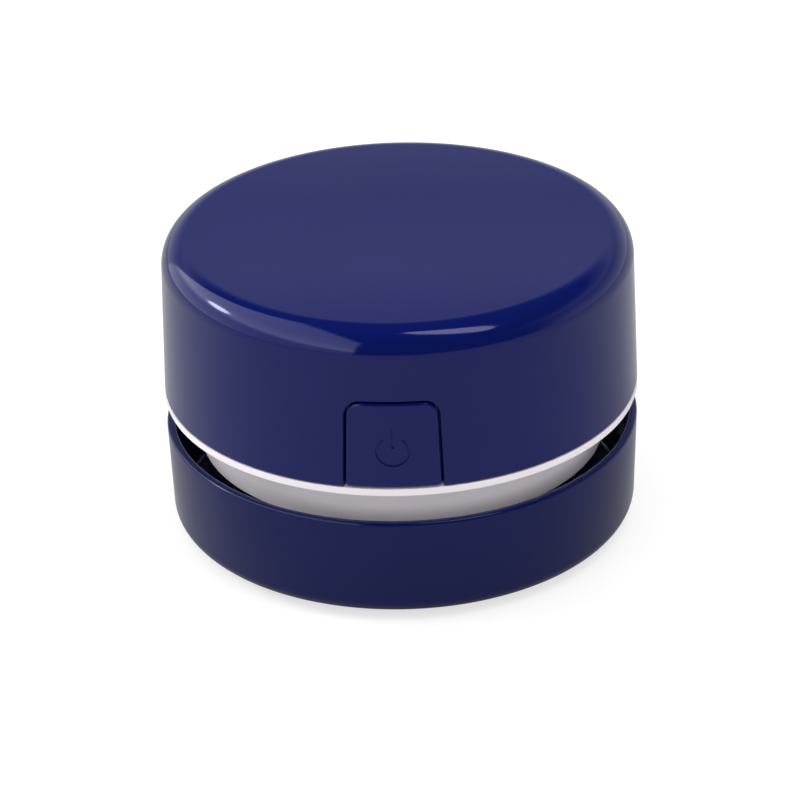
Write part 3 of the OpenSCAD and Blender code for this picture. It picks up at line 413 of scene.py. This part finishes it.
# Stamped brass keeps the rolling streaks of its strip.
brass = worked("brass_stamped", "c9a55a", "b58f45", (0.25, 0.38), (0.4, 3, 3), 0.001)
can = bmesh.new()
bmesh.ops.create_circle(can, cap_ends=True, segments=128, radius=CAN_R * MM,
                        matrix=Matrix.Translation((0, 0, CAN_LOW * MM)))
for side in (-1, 1):
    bmesh.ops.bisect_plane(
        can, geom=can.verts[:] + can.edges[:] + can.faces[:],
        plane_co=(side * CAN_FLAT * MM, 0, 0), plane_no=(side, 0, 0), clear_outer=True,
    )
push_out(can, can.faces[:], (0, 0, CAN_TALL * MM))
bmesh.ops.delete(can, context="FACES_ONLY",
                 geom=[f for f in can.faces
                       if f.calc_center_median().z > (CAN_LOW + CAN_TALL - 0.1) * MM])
bmesh.ops.recalc_face_normals(can, faces=can.faces)
rim = [e for e in can.edges if all(abs(v.co.z - CAN_LOW * MM) < WELD for v in e.verts)]
bmesh.ops.bevel(can, geom=rim, offset=1.1 * MM, segments=5, profile=0.5, affect="EDGES",
                material=-1)
# The snout round the front bush.
turn(can, [(2.4, 23.3, 0), (3.0, 23.3, 0.2), (3.0, 24.9, 0)], 48, closed=False)
can_piece = piece(can, "motor_can_drawn", drawn_steel, "drive_unit", ["motor_can"])
sheet = can_piece.modifiers.new("sheet", "SOLIDIFY")
sheet.thickness, sheet.offset = CAN_SHEET * MM, -1.0
dressed("motor_end_cap", "motor_end_cap_moulding", nylon, "drive_unit", 0.3, 3)
for node in ("motor_front_bush", "motor_rear_bush"):
    dressed(node, node + "_sintered", bronze, "drive_unit", 0.12)
dressed("motor_magnets", "motor_magnet_arcs", ferrite, "drive_unit", 0.3)
dressed("motor_terminals", "motor_terminal_tags", brass, "drive_unit", 0.06)
dressed("motor_brushes", "motor_brush_leaves", brass, "drive_unit", 0.06)


# ---- Armature ----
# The turning part inside the can: a ground steel shaft, a three-pole core of stamped laminations,
# enamelled copper wire wound on each pole, and a three-segment copper commutator.
POLE_Z, POLE_HALF_WIDTH, POLE_HALF_HEIGHT = 34.55, 1.3, 4.85
COIL_R, COIL_START, TURN_PITCH, LAYER_PITCH, COIL_CLEAR = 3, 3.1, 0.47, 0.48, 0.3
# A ground shaft shines in narrow rings.
ground_steel = worked("steel_ground", "d3d5d9", "bfc2c8", (0.14, 0.22), (3, 3, 0.3), 0.0005)
# The stacked sheets show as fine level lines.
laminated = worked("steel_laminated", "8b8f96", "6f737a", (0.4, 0.55), (0.2, 0.2, 2.5), 0.02)
# Wound wire: copper under a clear amber varnish.
enamel = moulded("copper_wire_enamelled", "9c4a1e", "b25b28", (0.2, 0.3), 1.5, 0.5, 0.001,
                 Metallic=0.85)
# Turned copper keeps the tool's rings, and tarnishes a little.
copper = worked("copper_turned", "b0693f", "99562f", (0.3, 0.42), (0.3, 0.3, 3), 0.001)
dressed("motor_shaft", "motor_shaft_ground", ground_steel, "fan_rotor", 0.12)
dressed("armature_core", "armature_laminations", laminated, "fan_rotor", 0.1)
dressed("commutator", "commutator_segments", copper, "fan_rotor", 0.08)
coils = bmesh.new()
for place in on_ring(0, 3):
    for out, layer in [(o, 0) for o in range(5)] + [(o, 1) for o in range(4)]:
        loop = bmesh.new()
        turn(loop, [(2.78, -0.22, 0.2), (3.22, -0.22, 0.2), (3.22, 0.22, 0.2),
                    (2.78, 0.22, 0.2)], 40)
        half_y = POLE_HALF_WIDTH + LAYER_PITCH * layer
        half_z = POLE_HALF_HEIGHT + COIL_CLEAR + LAYER_PITCH * layer
        for v in loop.verts:
            around = math.atan2(v.co.y, v.co.x)
            reach = (abs(math.cos(around) / half_y) ** 5 + abs(math.sin(around) / half_z) ** 5)
            v.co.xy = v.co.xy * ((math.hypot(v.co.x, v.co.y) / MM - COIL_R + reach ** -0.2)
                                 * MM / math.hypot(v.co.x, v.co.y))
        stand = Matrix(((0, 0, 1), (1, 0, 0), (0, 1, 0))).to_4x4()
        lift = Matrix.Translation(((COIL_START + TURN_PITCH * out) * MM, 0, POLE_Z * MM))
        join(coils, loop, place @ lift @ stand)
piece(coils, "armature_windings", enamel, "fan_rotor", ["armature_coils"])


# ---- Motor clamp and battery tray ----
# The white clamp strap holds the motor down by two screws. The black ABS tray carries one cell in
# each of its two bays, beside the motor, and stiffens the deck.
dressed("motor_clamp", "motor_clamp_strap", white_abs, "drive_unit", 0.2)
dressed("battery_tray", "battery_tray_moulding", matte_abs, "drive_unit")


# ---- Contacts and springs ----
# Nickel-plated spring steel: stamped plates in the tray's end walls, and a tapered wire spring
# that presses on the flat end of each cell.
CELL_X, CELL_Z = 16.8, 34.55
SPRING_R, SPRING_TIP_R, SPRING_TAPER = 4, 3.1, 0.25
SPRING_TURNS, SPRING_STEPS, SPRING_WIRE_R, SPRING_LENGTH = 4.5, 26, 0.32, 3.5
# Nickel over rolled spring steel: bright and slightly warm.
nickel = worked("steel_nickel_plated", "d0d0cf", "bdbcb9", (0.16, 0.26), (0.5, 2, 2), 0.0008)
for node in ("contact_bridge", "contact_positive", "contact_negative"):
    dressed(node, node + "_stamped", nickel, "drive_unit", 0.06)
springs = bmesh.new()
for place in on_ring(0, 2):
    coil = bmesh.new()
    start = bmesh.ops.create_circle(
        coil, segments=10, radius=SPRING_WIRE_R * MM,
        matrix=Matrix.Translation((SPRING_R * MM, 0, 0)) @ Matrix.Rotation(math.pi / 2, 4, "X"),
    )
    steps = round(SPRING_TURNS * SPRING_STEPS)
    bmesh.ops.spin(coil, geom=coil.verts[:] + coil.edges[:], cent=(0, 0, 0), axis=(0, 0, 1),
                   dvec=(0, 0, SPRING_LENGTH * MM / steps),
                   angle=2 * math.pi * SPRING_TURNS, steps=steps)
    bmesh.ops.holes_fill(coil, edges=[e for e in coil.edges if e.is_boundary])
    bmesh.ops.recalc_face_normals(coil, faces=coil.faces)
    # The coil widens from the cell's end to the plate that holds it.
    for v in coil.verts:
        out = math.hypot(v.co.x, v.co.y)
        v.co.xy *= 1 + (SPRING_TIP_R - SPRING_R + SPRING_TAPER * v.co.z / MM) * MM / out
    seat = Matrix.Translation((CELL_X * MM, 23.5 * MM, CELL_Z * MM))
    join(springs, coil, place @ seat @ Matrix.Rotation(-math.pi / 2, 4, "X"))
piece(springs, "battery_coil_springs", nickel, "drive_unit",
      ["battery_springs"])


# ---- Cells ----
# Two ordinary AA cells, head to tail: a nickel-plated can with a rolled shoulder and a pressed
# nub, in a plain dark shrink sleeve whose ends curl over the shoulders.
CELL_BACK, BARE_END_R = -23.14, 6.02
# Shrunk PVC is smooth and shiny, with slow ripples.
sleeve = moulded("pvc_shrink_sleeve", "34383f", "2c3037", (0.2, 0.3), 9, 1.4, 0.004, IOR=1.5)
# The can's ends are bright rolled steel.
cell_steel = worked("steel_cell_can", "c9cac9", "b4b5b5", (0.2, 0.3), (2, 2, 2), 0.0006)
for node, turned in (("battery_left", 0), ("battery_right", math.pi)):
    cell = bmesh.new()
    turn(cell, [
        (0, 0.3, 0), (4.4, 0.3, 0.1), (4.7, 0.1, 0.2), (6.0, 0.1, 0.1), (6.05, 0.0, 0.05),
        (7.25, 0.0, 0.6), (7.25, 49.18, 0.7), (6.0, 49.18, 0.05), (5.95, 48.95, 0.1),
        (3.4, 48.75, 0.2), (2.75, 49.1, 0.2), (2.75, 50.48, 0.5), (0, 50.48, 0),
    ], 96)
    cell.transform(Matrix.Rotation(turned, 4, "Z")
                   @ Matrix.Translation((-CELL_X * MM, CELL_BACK * MM, CELL_Z * MM))
                   @ Matrix.Rotation(-math.pi / 2, 4, "X"))
    made = piece(cell, node + "_cell", sleeve, "drive_unit", [node])
    made.data.materials.append(cell_steel)
    axis = Vector((-CELL_X if turned == 0 else CELL_X, 0, CELL_Z)) * MM
    for face in made.data.polygons:
        off = face.center - axis
        if math.hypot(off.x, off.z) < BARE_END_R * MM:
            face.material_index = 1


# ---- Switch and circuit board ----
# A latching push switch soldered to a small glass-epoxy board under green solder mask, two
# screws through the board, and the white acetal plunger that the power button pushes.
BOARD_TOP = 29.8
# Green solder mask lies glossy and a little uneven over the laminate.
solder_mask = moulded("glass_epoxy_green_mask", "1d5a35", "184d2d", (0.24, 0.34), 5, 0.25, 0.004)
# Glass-filled PBT has a fine, dull grain.
switch_pbt = moulded("pbt_black_fine", "202125", "1a1b1f", (0.4, 0.5), 5, 0.25, 0.004)
# White acetal looks waxy, with a soft shine.
acetal = moulded("acetal_white_satin", "ebe8e4", "e4e1dc", (0.3, 0.4), 5, 0.3, 0.002)
# Solder sets smooth and bright where it has flowed.
tin = worked("solder_tin_reflowed", "c7c9cc", "afb2b7", (0.18, 0.32), (2, 2, 2), 0.002)
dressed("switch_board", "switch_board_laminate", solder_mask, "drive_unit", 0.08)
dressed("switch_body", "switch_body_moulding", switch_pbt, "drive_unit", 0.3, 3)
dressed("switch_plunger", "switch_plunger_cap", acetal, "switch_plunger_body",
        0.25, 3)
joints = bmesh.new()
for x, y in (
    (-5.6, -28.6), (-5.6, -26.2), (-5.6, -23.8), (5.6, -28.9), (5.6, -26.3), (5.6, -24.0),
):
    turn(joints, [(0, -0.08, 0), (0.85, -0.05, 0.1), (0.55, 0.25, 0.2), (0.2, 0.7, 0.15),
                  (0, 0.75, 0)], 20, Matrix.Translation((x * MM, y * MM, BOARD_TOP * MM)))
piece(joints, "switch_board_solder", tin, "drive_unit")


# ---- Wires ----
# Stranded copper wire in PVC insulation: red from the positive contact to the board and on to the
# motor, black from the negative contact to the motor.
for node, name, colour, shade, slot in (
    ("wire_positive", "pvc_red_extruded", "a8211f", "9a1c1b", "wire_red"),
    ("wire_motor", "pvc_red_bright_extruded", "a8211f", "9a1c1b", "wire_red"),
    ("wire_negative", "pvc_black_extruded", "1b1c1f", "232428", "wire_black"),
):
    # Extruded PVC: smooth, with half a shine.
    pvc = moulded(name, colour, shade, (0.34, 0.44), 4, 0.3, 0.002)
    dressed(node, node + "_insulated", pvc, "drive_unit", edge=0, subdivide=2)


# ---- Power button ----
# A tab of the same navy ABS as the casing, set in a notch in its front. It is a shell with a
# flange behind the notch, so it can't fall out, and a peg that pushes the switch. The power
# symbol is moulded into its face as a fine groove.
BODY_R, CASING_LOW, CASING_HIGH, CASING_DRAFT = 42.0, 26.2, 54.5, 0.9
BUTTON_LOW, BUTTON_HIGH, BUTTON_THICK = 26.4, 41.9, 2.9
BUTTON_HALF, BUTTON_TOP_HALF, BUTTON_GAP, FLANGE_W = 8.1, 7.55, 0.35, 1.2
SYMBOL_Z, SYMBOL_R, SYMBOL_LINE, SYMBOL_DEPTH = 33.3, 2.7, 0.4, 0.35
BAR_LOW, BAR_HIGH, RING_OPEN, SYMBOL_REACH = 0.5, 4.1, 37, 5
FLANGE_FRONT, PEG_R, PEG_LENGTH, PEG_FRONT = 1.9, 2.2, 4.9, -39.63
FACE_WIDTH = 30  # outline points nearer the middle than this are widths, not lengths round
ON_SIDE = 0.003  # a corner this near the casing's side lies on it


def side_radius(z):
    """Radius of the casing's drafted side at height z, both in mm."""
    return BODY_R - CASING_DRAFT * (z - CASING_LOW) / (CASING_HIGH - CASING_LOW)


def flat_plate(outline, near, far, rounded=()):
    """A flat panel: outline points (x, z) in mm, front at depth near, back at depth far. X
    becomes a length round the casing's side; rounded gives the corners' radii."""
    plate = bmesh.new()
    corners = [
        plate.verts.new((BODY_R * math.asin(x / side_radius(z)) if abs(x) < FACE_WIDTH else x,
                         near, z)) for x, z in outline
    ]
    plate.faces.new(corners)
    for corner, radius in zip(corners, rounded):
        if radius:
            bmesh.ops.bevel(plate, geom=[corner], offset=radius, segments=8, profile=0.5,
                            affect="VERTICES", material=-1)
    push_out(plate, plate.faces[:], (0, far - near, 0))
    bmesh.ops.recalc_face_normals(plate, faces=plate.faces)
    return plate


def soften(plate, radius, segments, chosen):
    """Rounds the front edges of a flat panel that chosen(edge) picks."""
    front = [
        e for e in plate.edges
        if len(e.link_faces) == 2 and abs(e.calc_face_angle(0)) > 1
        and any(f.normal.y < -0.9 for f in e.link_faces) and chosen(e)
    ]
    bmesh.ops.bevel(plate, geom=front, offset=radius, segments=segments, profile=0.5,
                    affect="EDGES", material=-1)


def wrap(plate, strip):
    """Cuts the panel into upright strips and bends it round the casing's axis, in metres."""
    reach = max(abs(v.co.x) for v in plate.verts)
    count = math.ceil(reach / strip)
    for i in range(-count + 1, count):
        bmesh.ops.bisect_plane(plate, geom=plate.verts[:] + plate.edges[:] + plate.faces[:],
                               plane_co=(i * strip, 0, 0), plane_no=(1, 0, 0), dist=1e-5)
    for v in plate.verts:
        angle, out = v.co.x / BODY_R, side_radius(v.co.z) - v.co.y
        v.co = Vector((out * math.sin(angle), -out * math.cos(angle), v.co.z)) * MM
    return plate


def true_side(made):
    """Gives the faces on the casing's side its exact normals, so that the cuts don't show."""
    mesh, lean = made.data, CASING_DRAFT / (CASING_HIGH - CASING_LOW)
    normals = []
    for face in mesh.polygons:
        for corner in face.vertices:
            at = mesh.vertices[corner].co
            out = math.hypot(at.x, at.y)
            normal = Vector((at.x, at.y, lean * out)).normalized()
            on_side = abs(out / MM - side_radius(at.z / MM)) < ON_SIDE
            normals.append(normal if on_side and face.normal.dot(normal) > math.cos(SHARP)
                           else Vector())
    mesh.normals_split_custom_set(normals)


# The tab with the symbol cut into its flat face, before it is bent round.
tab = flat_plate([
    (-BUTTON_HALF, BUTTON_LOW), (BUTTON_HALF, BUTTON_LOW), (BUTTON_TOP_HALF, BUTTON_HIGH),
    (-BUTTON_TOP_HALF, BUTTON_HIGH),
], 0, BUTTON_THICK, (0.7, 0.7, 2.3, 2.3))
tab_mesh = bpy.data.meshes.new("tab")
tab.to_mesh(tab_mesh)
tab.free()
tab_object = bpy.data.objects.new("tab", tab_mesh)
# The power symbol, an open ring and a bar, drawn flat and then stood up to cut into the tab.
groove = bmesh.new()
bmesh.ops.create_circle(groove, segments=64, radius=SYMBOL_R + SYMBOL_LINE / 2)
bmesh.ops.delete(groove, geom=[v for v in groove.verts if math.degrees(
    abs(math.atan2(v.co.x, v.co.y))) < RING_OPEN], context="VERTS")
inner = bmesh.ops.duplicate(groove, geom=groove.verts[:] + groove.edges[:])["geom"]
inner_verts = [v for v in inner if isinstance(v, bmesh.types.BMVert)]
bmesh.ops.scale(groove, verts=inner_verts, vec=Vector((1, 1, 1)) * (
    (SYMBOL_R - SYMBOL_LINE / 2) / (SYMBOL_R + SYMBOL_LINE / 2)))
bmesh.ops.bridge_loops(groove, edges=groove.edges[:])
bar = [groove.verts.new((x, y, 0)) for x, y in (
    (-SYMBOL_LINE / 2, BAR_LOW), (SYMBOL_LINE / 2, BAR_LOW), (SYMBOL_LINE / 2, BAR_HIGH),
    (-SYMBOL_LINE / 2, BAR_HIGH))]
groove.faces.new(bar)
push_out(groove, groove.faces[:], (0, 0, SYMBOL_DEPTH + 1))
bmesh.ops.recalc_face_normals(groove, faces=groove.faces)
groove.transform(Matrix.Translation((0, SYMBOL_DEPTH, SYMBOL_Z))
                 @ Matrix.Rotation(math.pi / 2, 4, "X"))
groove_mesh = bpy.data.meshes.new("groove")
groove.to_mesh(groove_mesh)
groove.free()
groove_object = bpy.data.objects.new("groove", groove_mesh)
for made in (tab_object, groove_object):
    bpy.context.scene.collection.objects.link(made)
cut = tab_object.modifiers.new("cut", "BOOLEAN")
cut.operation, cut.solver, cut.object = "DIFFERENCE", "EXACT", groove_object
bpy.context.view_layer.update()
button = bmesh.new()
button.from_object(tab_object, bpy.context.evaluated_depsgraph_get())
bpy.data.objects.remove(tab_object)
bpy.data.objects.remove(groove_object)
symbol_centre = Vector((0, 0, SYMBOL_Z))
soften(button, 0.42, 5, lambda e: (e.verts[0].co - symbol_centre).length > SYMBOL_REACH)
soften(button, 0.07, 2, lambda e: (e.verts[0].co - symbol_centre).length < SYMBOL_REACH)
wrap(button, 0.55)
# The flange ends just behind the tab's back, so that no two faces lie in one place.
flange_x, flange_top = BUTTON_HALF + FLANGE_W, BUTTON_HIGH + FLANGE_W
flange = flat_plate([
    (-flange_x, BUTTON_LOW), (flange_x, BUTTON_LOW), (flange_x, flange_top),
    (-flange_x, flange_top),
], FLANGE_FRONT, BUTTON_THICK + 0.001, (0.3, 0.3, 3.0, 3.0))
join(button, wrap(flange, 0.8))
turn(button, [(0, 0, 0), (PEG_R, 0, 0), (PEG_R, PEG_LENGTH, 0.4), (0, PEG_LENGTH, 0)], 48,
     Matrix.Translation((0, PEG_FRONT * MM, SYMBOL_Z * MM))
     @ Matrix.Rotation(-math.pi / 2, 4, "X"))
true_side(piece(button, "power_button_tab", gloss_abs, "button",
                ["power_button"]))


# ---- Casing ----
# The navy ABS hood over motor and cells, polished like the button, with a flat top and a rounded
# shoulder. Inside it has two ribs beside the button and two bosses for the button's retainer.
WALL, SHOULDER_LOW, ROOF_UNDER, SIDE_STEPS = 1.6, 49.849, 52.9, 256
BOSS_X, BOSS_Z, BOSS_FRONT, BOSS_R, BOSS_LENGTH = 12.8, 34.15, -38.85, 2.3, 2.91
PILOT_R, PILOT_END = 1.0, 0.81
RIB_X, RIB_Y, RIB_Z, RIB_SIZE = 10.1, -37.82, 34.65, (1, 3.2, 16.5)
strip = 2 * math.pi * BODY_R / SIDE_STEPS
half = math.pi * BODY_R
# The side is one flat panel with the notch in it, bent round; the shoulders are turned.
notch_x, notch_top_x = BUTTON_HALF + BUTTON_GAP, BUTTON_TOP_HALF + BUTTON_GAP
notch_top = BUTTON_HIGH + BUTTON_GAP
casing = flat_plate([
    (-half, CASING_LOW), (-notch_x, CASING_LOW), (-notch_top_x, notch_top),
    (notch_top_x, notch_top), (notch_x, CASING_LOW), (half, CASING_LOW), (half, SHOULDER_LOW),
    (-half, SHOULDER_LOW),
], 0, WALL, (0, 0, 2.65, 2.65, 0, 0, 0, 0))
soften(casing, 0.35, 4, lambda e: all(
    v.co.z < SHOULDER_LOW - 1 and abs(v.co.x) < half - 1e-4 for v in e.verts) or all(
    abs(v.co.z - CASING_LOW) < 1e-4 for v in e.verts))
# The panel's ends meet at the back, and its top edges meet the shoulders, so they stay open.
loose_ends = [f for f in casing.faces if abs(f.normal.x) > 0.9 and abs(
    abs(f.calc_center_median().x) - half) < 1e-3 or f.normal.z > 0.9 and abs(
    f.calc_center_median().z - SHOULDER_LOW) < 1e-3]
bmesh.ops.delete(casing, geom=loose_ends, context="FACES_ONLY")
wrap(casing, strip)
quarter = Matrix.Rotation(math.pi / 2, 4, "Z")
turn(casing, [(side_radius(SHOULDER_LOW), SHOULDER_LOW, 0), (41.1, CASING_HIGH, 4.8),
              (0, CASING_HIGH, 0)], SIDE_STEPS, quarter, closed=False)
turn(casing, [(side_radius(SHOULDER_LOW) - WALL, SHOULDER_LOW, 0), (39.55, ROOF_UNDER, 3.1),
              (0, ROOF_UNDER, 0)], SIDE_STEPS, quarter, closed=False)
bmesh.ops.remove_doubles(casing, verts=casing.verts, dist=2 * WELD)
bmesh.ops.recalc_face_normals(casing, faces=casing.faces)
for side in (-1, 1):
    turn(casing, [
        (0, 0, 0), (BOSS_R, 0, 0), (BOSS_R, BOSS_LENGTH, 0.2), (PILOT_R, BOSS_LENGTH, 0.1),
        (PILOT_R, PILOT_END, 0), (0, PILOT_END, 0),
    ], 40, Matrix.Translation((side * BOSS_X * MM, BOSS_FRONT * MM, BOSS_Z * MM))
         @ Matrix.Rotation(-math.pi / 2, 4, "X"))
    rib = bmesh.ops.create_cube(casing, size=MM)
    bmesh.ops.scale(casing, verts=rib["verts"], vec=RIB_SIZE)
    bmesh.ops.translate(casing, verts=rib["verts"],
                        vec=Vector((side * RIB_X, RIB_Y, RIB_Z)) * MM)
true_side(piece(casing, "casing_hood", gloss_abs, "casing", ["top_casing"]))
dressed("button_retainer", "button_retainer_plate", matte_abs, "casing", 0.2)


# ---- Desk, light and camera ----
# A white desk top in a bright room, with a window on the left and soft lamps. The camera stands
# where the photograph's did.
DESK_R, DESK_GLOW, DESK_IN_GLOSS, ROOM_LEVEL = 6.0, 0.66, 0.12, 1.15


def sight(tree):
    """Which rays look in gloss, and which look straight or through something clear."""
    rays = add(tree, "ShaderNodeLightPath")
    clear = add(tree, "ShaderNodeMath", {0: rays.outputs["Is Camera Ray"],
                                         1: rays.outputs["Is Transmission Ray"]},
                operation="MAXIMUM")
    return rays.outputs["Is Glossy Ray"], clear.outputs["Value"]


# In gloss the desk is much dimmer than to the camera, which sees it white with a faint shadow.
desk, tree, shader = start_finish("desk_white_laminate", Roughness=0.6)
shader.inputs["Base Color"].default_value = srgb("a2a2a3")
in_gloss, straight = sight(tree)
shown = add(tree, "ShaderNodeMath", {0: in_gloss, 1: DESK_IN_GLOSS, 2: straight},
            operation="MULTIPLY_ADD")
glow = add(tree, "ShaderNodeEmission", {"Color": srgb("ffffff"), "Strength": DESK_GLOW})
seen = add(tree, "ShaderNodeMixShader", {0: shown.outputs["Value"]})
both = add(tree, "ShaderNodeAddShader", {0: shader.outputs["BSDF"], 1: glow.outputs["Emission"]})
tree.links.new(shader.outputs["BSDF"], seen.inputs[1])
tree.links.new(both.outputs["Shader"], seen.inputs[2])
out = next(n for n in tree.nodes if n.type == "OUTPUT_MATERIAL")
tree.links.new(seen.outputs["Shader"], out.inputs["Surface"])
floor = bmesh.new()
bmesh.ops.create_circle(floor, cap_ends=True, segments=64, radius=DESK_R)
floor_mesh = bpy.data.meshes.new("desk")
floor.to_mesh(floor_mesh)
floor.free()
floor_mesh.materials.append(desk)
floor_object = bpy.data.objects.new("desk", floor_mesh)
bpy.context.scene.collection.objects.link(floor_object)

world = bpy.data.worlds.new("studio")
world.use_nodes = True
bpy.context.scene.world = world
tree = world.node_tree
tree.nodes.clear()
# In gloss, the white sweep shows behind and beside the object, and the room in front of it,
# where the camera stands, is dim. As light, the room is one plain soft level.
way = add(tree, "ShaderNodeSeparateXYZ",
          {"Vector": add(tree, "ShaderNodeTexCoord").outputs["Generated"]})
depth = add(tree, "ShaderNodeMapRange", {"Value": way.outputs["Y"], "From Min": -0.5,
                                         "From Max": 0.1, "To Min": 0.06, "To Max": 1.0},
            interpolation_type="SMOOTHSTEP")
above = add(tree, "ShaderNodeValToRGB", {"Fac": way.outputs["Z"]})
stops = above.color_ramp.elements
for place, level in ((0.0, 0.8), (0.39, 0.27), (0.46, 0.4), (0.64, 0.03), (1.0, 0.02)):
    stop = stops[0] if place == 0 else stops[-1] if place == 1 else stops.new(place)
    stop.color = (level, level, level, 1.0)
gloss = add(tree, "ShaderNodeMath", {0: depth.outputs["Result"], 1: above.outputs["Color"]},
            operation="MULTIPLY")
in_gloss, straight = sight(tree)
level = add(tree, "ShaderNodeMix", {"Factor": in_gloss, 2: ROOM_LEVEL,
                                    3: gloss.outputs["Value"]}, data_type="FLOAT")
room = add(tree, "ShaderNodeBackground", {"Color": srgb("ffffff"),
                                          "Strength": level.outputs[0]})
white = add(tree, "ShaderNodeBackground", {"Color": srgb("ffffff"), "Strength": 1.0})
mixed = add(tree, "ShaderNodeMixShader", {0: straight, 1: room.outputs["Background"],
                                          2: white.outputs["Background"]})
add(tree, "ShaderNodeOutputWorld", {"Surface": mixed.outputs["Shader"]})

# A tall window on the left, brightest along its sill, a small lamp beside it, and two softboxes.
# The window and the small lamp show in gloss alone, and the left softbox only lights.
for name, shape, spot, facing, size, power, lights, shines in (
    ("softbox_left", "RECTANGLE", (-0.66, 0.04, 0.48), (0.66, -0.04, -0.48), (0.4, 0.12), 2.4,
     True, False),
    ("glint_left", "ELLIPSE", (-0.66, 0.13, 0.46), (0.66, -0.13, -0.46), (0.2, 0.11), 0.85,
     False, True),
    ("window_left", "RECTANGLE", (-0.45, -0.44, 0.7), (1, 0, 0), (1.82, 1.32), 7.6, False, True),
    ("softbox_above", "ELLIPSE", (0.22, -0.14, 0.76), (-0.22, 0.14, -0.73), (0.2, 0.5), 1.0,
     True, True),
):
    lamp = bpy.data.lights.new(name, "AREA")
    lamp.shape, lamp.energy = shape, power
    lamp.size, lamp.size_y = size
    made = bpy.data.objects.new(name, lamp)
    made.location = spot
    made.rotation_euler = Vector(facing).to_track_quat("-Z", "Y").to_euler()
    made.visible_diffuse, made.visible_glossy = lights, shines
    bpy.context.scene.collection.objects.link(made)
    if name == "window_left":
        lamp.use_nodes = True
        tree = lamp.node_tree
        pane = add(tree, "ShaderNodeSeparateXYZ", {
            "Vector": add(tree, "ShaderNodeNewGeometry").outputs["Parametric"]})
        rise = add(tree, "ShaderNodeValToRGB", {"Fac": pane.outputs["Y"]})
        stops = rise.color_ramp.elements
        for place, level in ((0.0, 0.3), (0.14, 0.34), (0.2, 1.0), (0.4, 0.7), (1.0, 0.5)):
            stop = stops[0] if place == 0 else stops[-1] if place == 1 else stops.new(place)
            stop.color = (level, level, level, 1.0)
        shine = next(n for n in tree.nodes if n.type == "EMISSION")
        strength = add(tree, "ShaderNodeMath", {0: rise.outputs["Color"], 1: 2.4},
                       operation="MULTIPLY")
        tree.links.new(strength.outputs["Value"], shine.inputs["Strength"])

# Metres and degrees; the lens is in mm on a 36 mm sensor.
CAMERA_AWAY, CAMERA_TILT, CAMERA_SIDE, CAMERA_ROLL = 0.567, 27.4, 2.4, 1.68
AIM_Z, LENS, SENSOR = 0.0285, 143.5, 36.0
camera = bpy.data.cameras.new("camera")
camera.lens = LENS
camera.sensor_width = SENSOR
camera.shift_x, camera.shift_y = -0.0007, -0.049
tilt, side = math.radians(CAMERA_TILT), math.radians(CAMERA_SIDE)
stand = bpy.data.objects.new("camera", camera)
eye = Vector((math.sin(side) * math.cos(tilt), -math.cos(side) * math.cos(tilt),
              math.sin(tilt))) * CAMERA_AWAY
facing = (-eye).to_track_quat("-Z", "Y").to_matrix().to_4x4()
stand.matrix_world = (Matrix.Translation(eye + Vector((0, 0, AIM_Z))) @ facing
                      @ Matrix.Rotation(math.radians(-CAMERA_ROLL), 4, "Z"))
bpy.context.scene.collection.objects.link(stand)
bpy.context.scene.camera = stand
bpy.context.scene.view_settings.view_transform = "Standard"
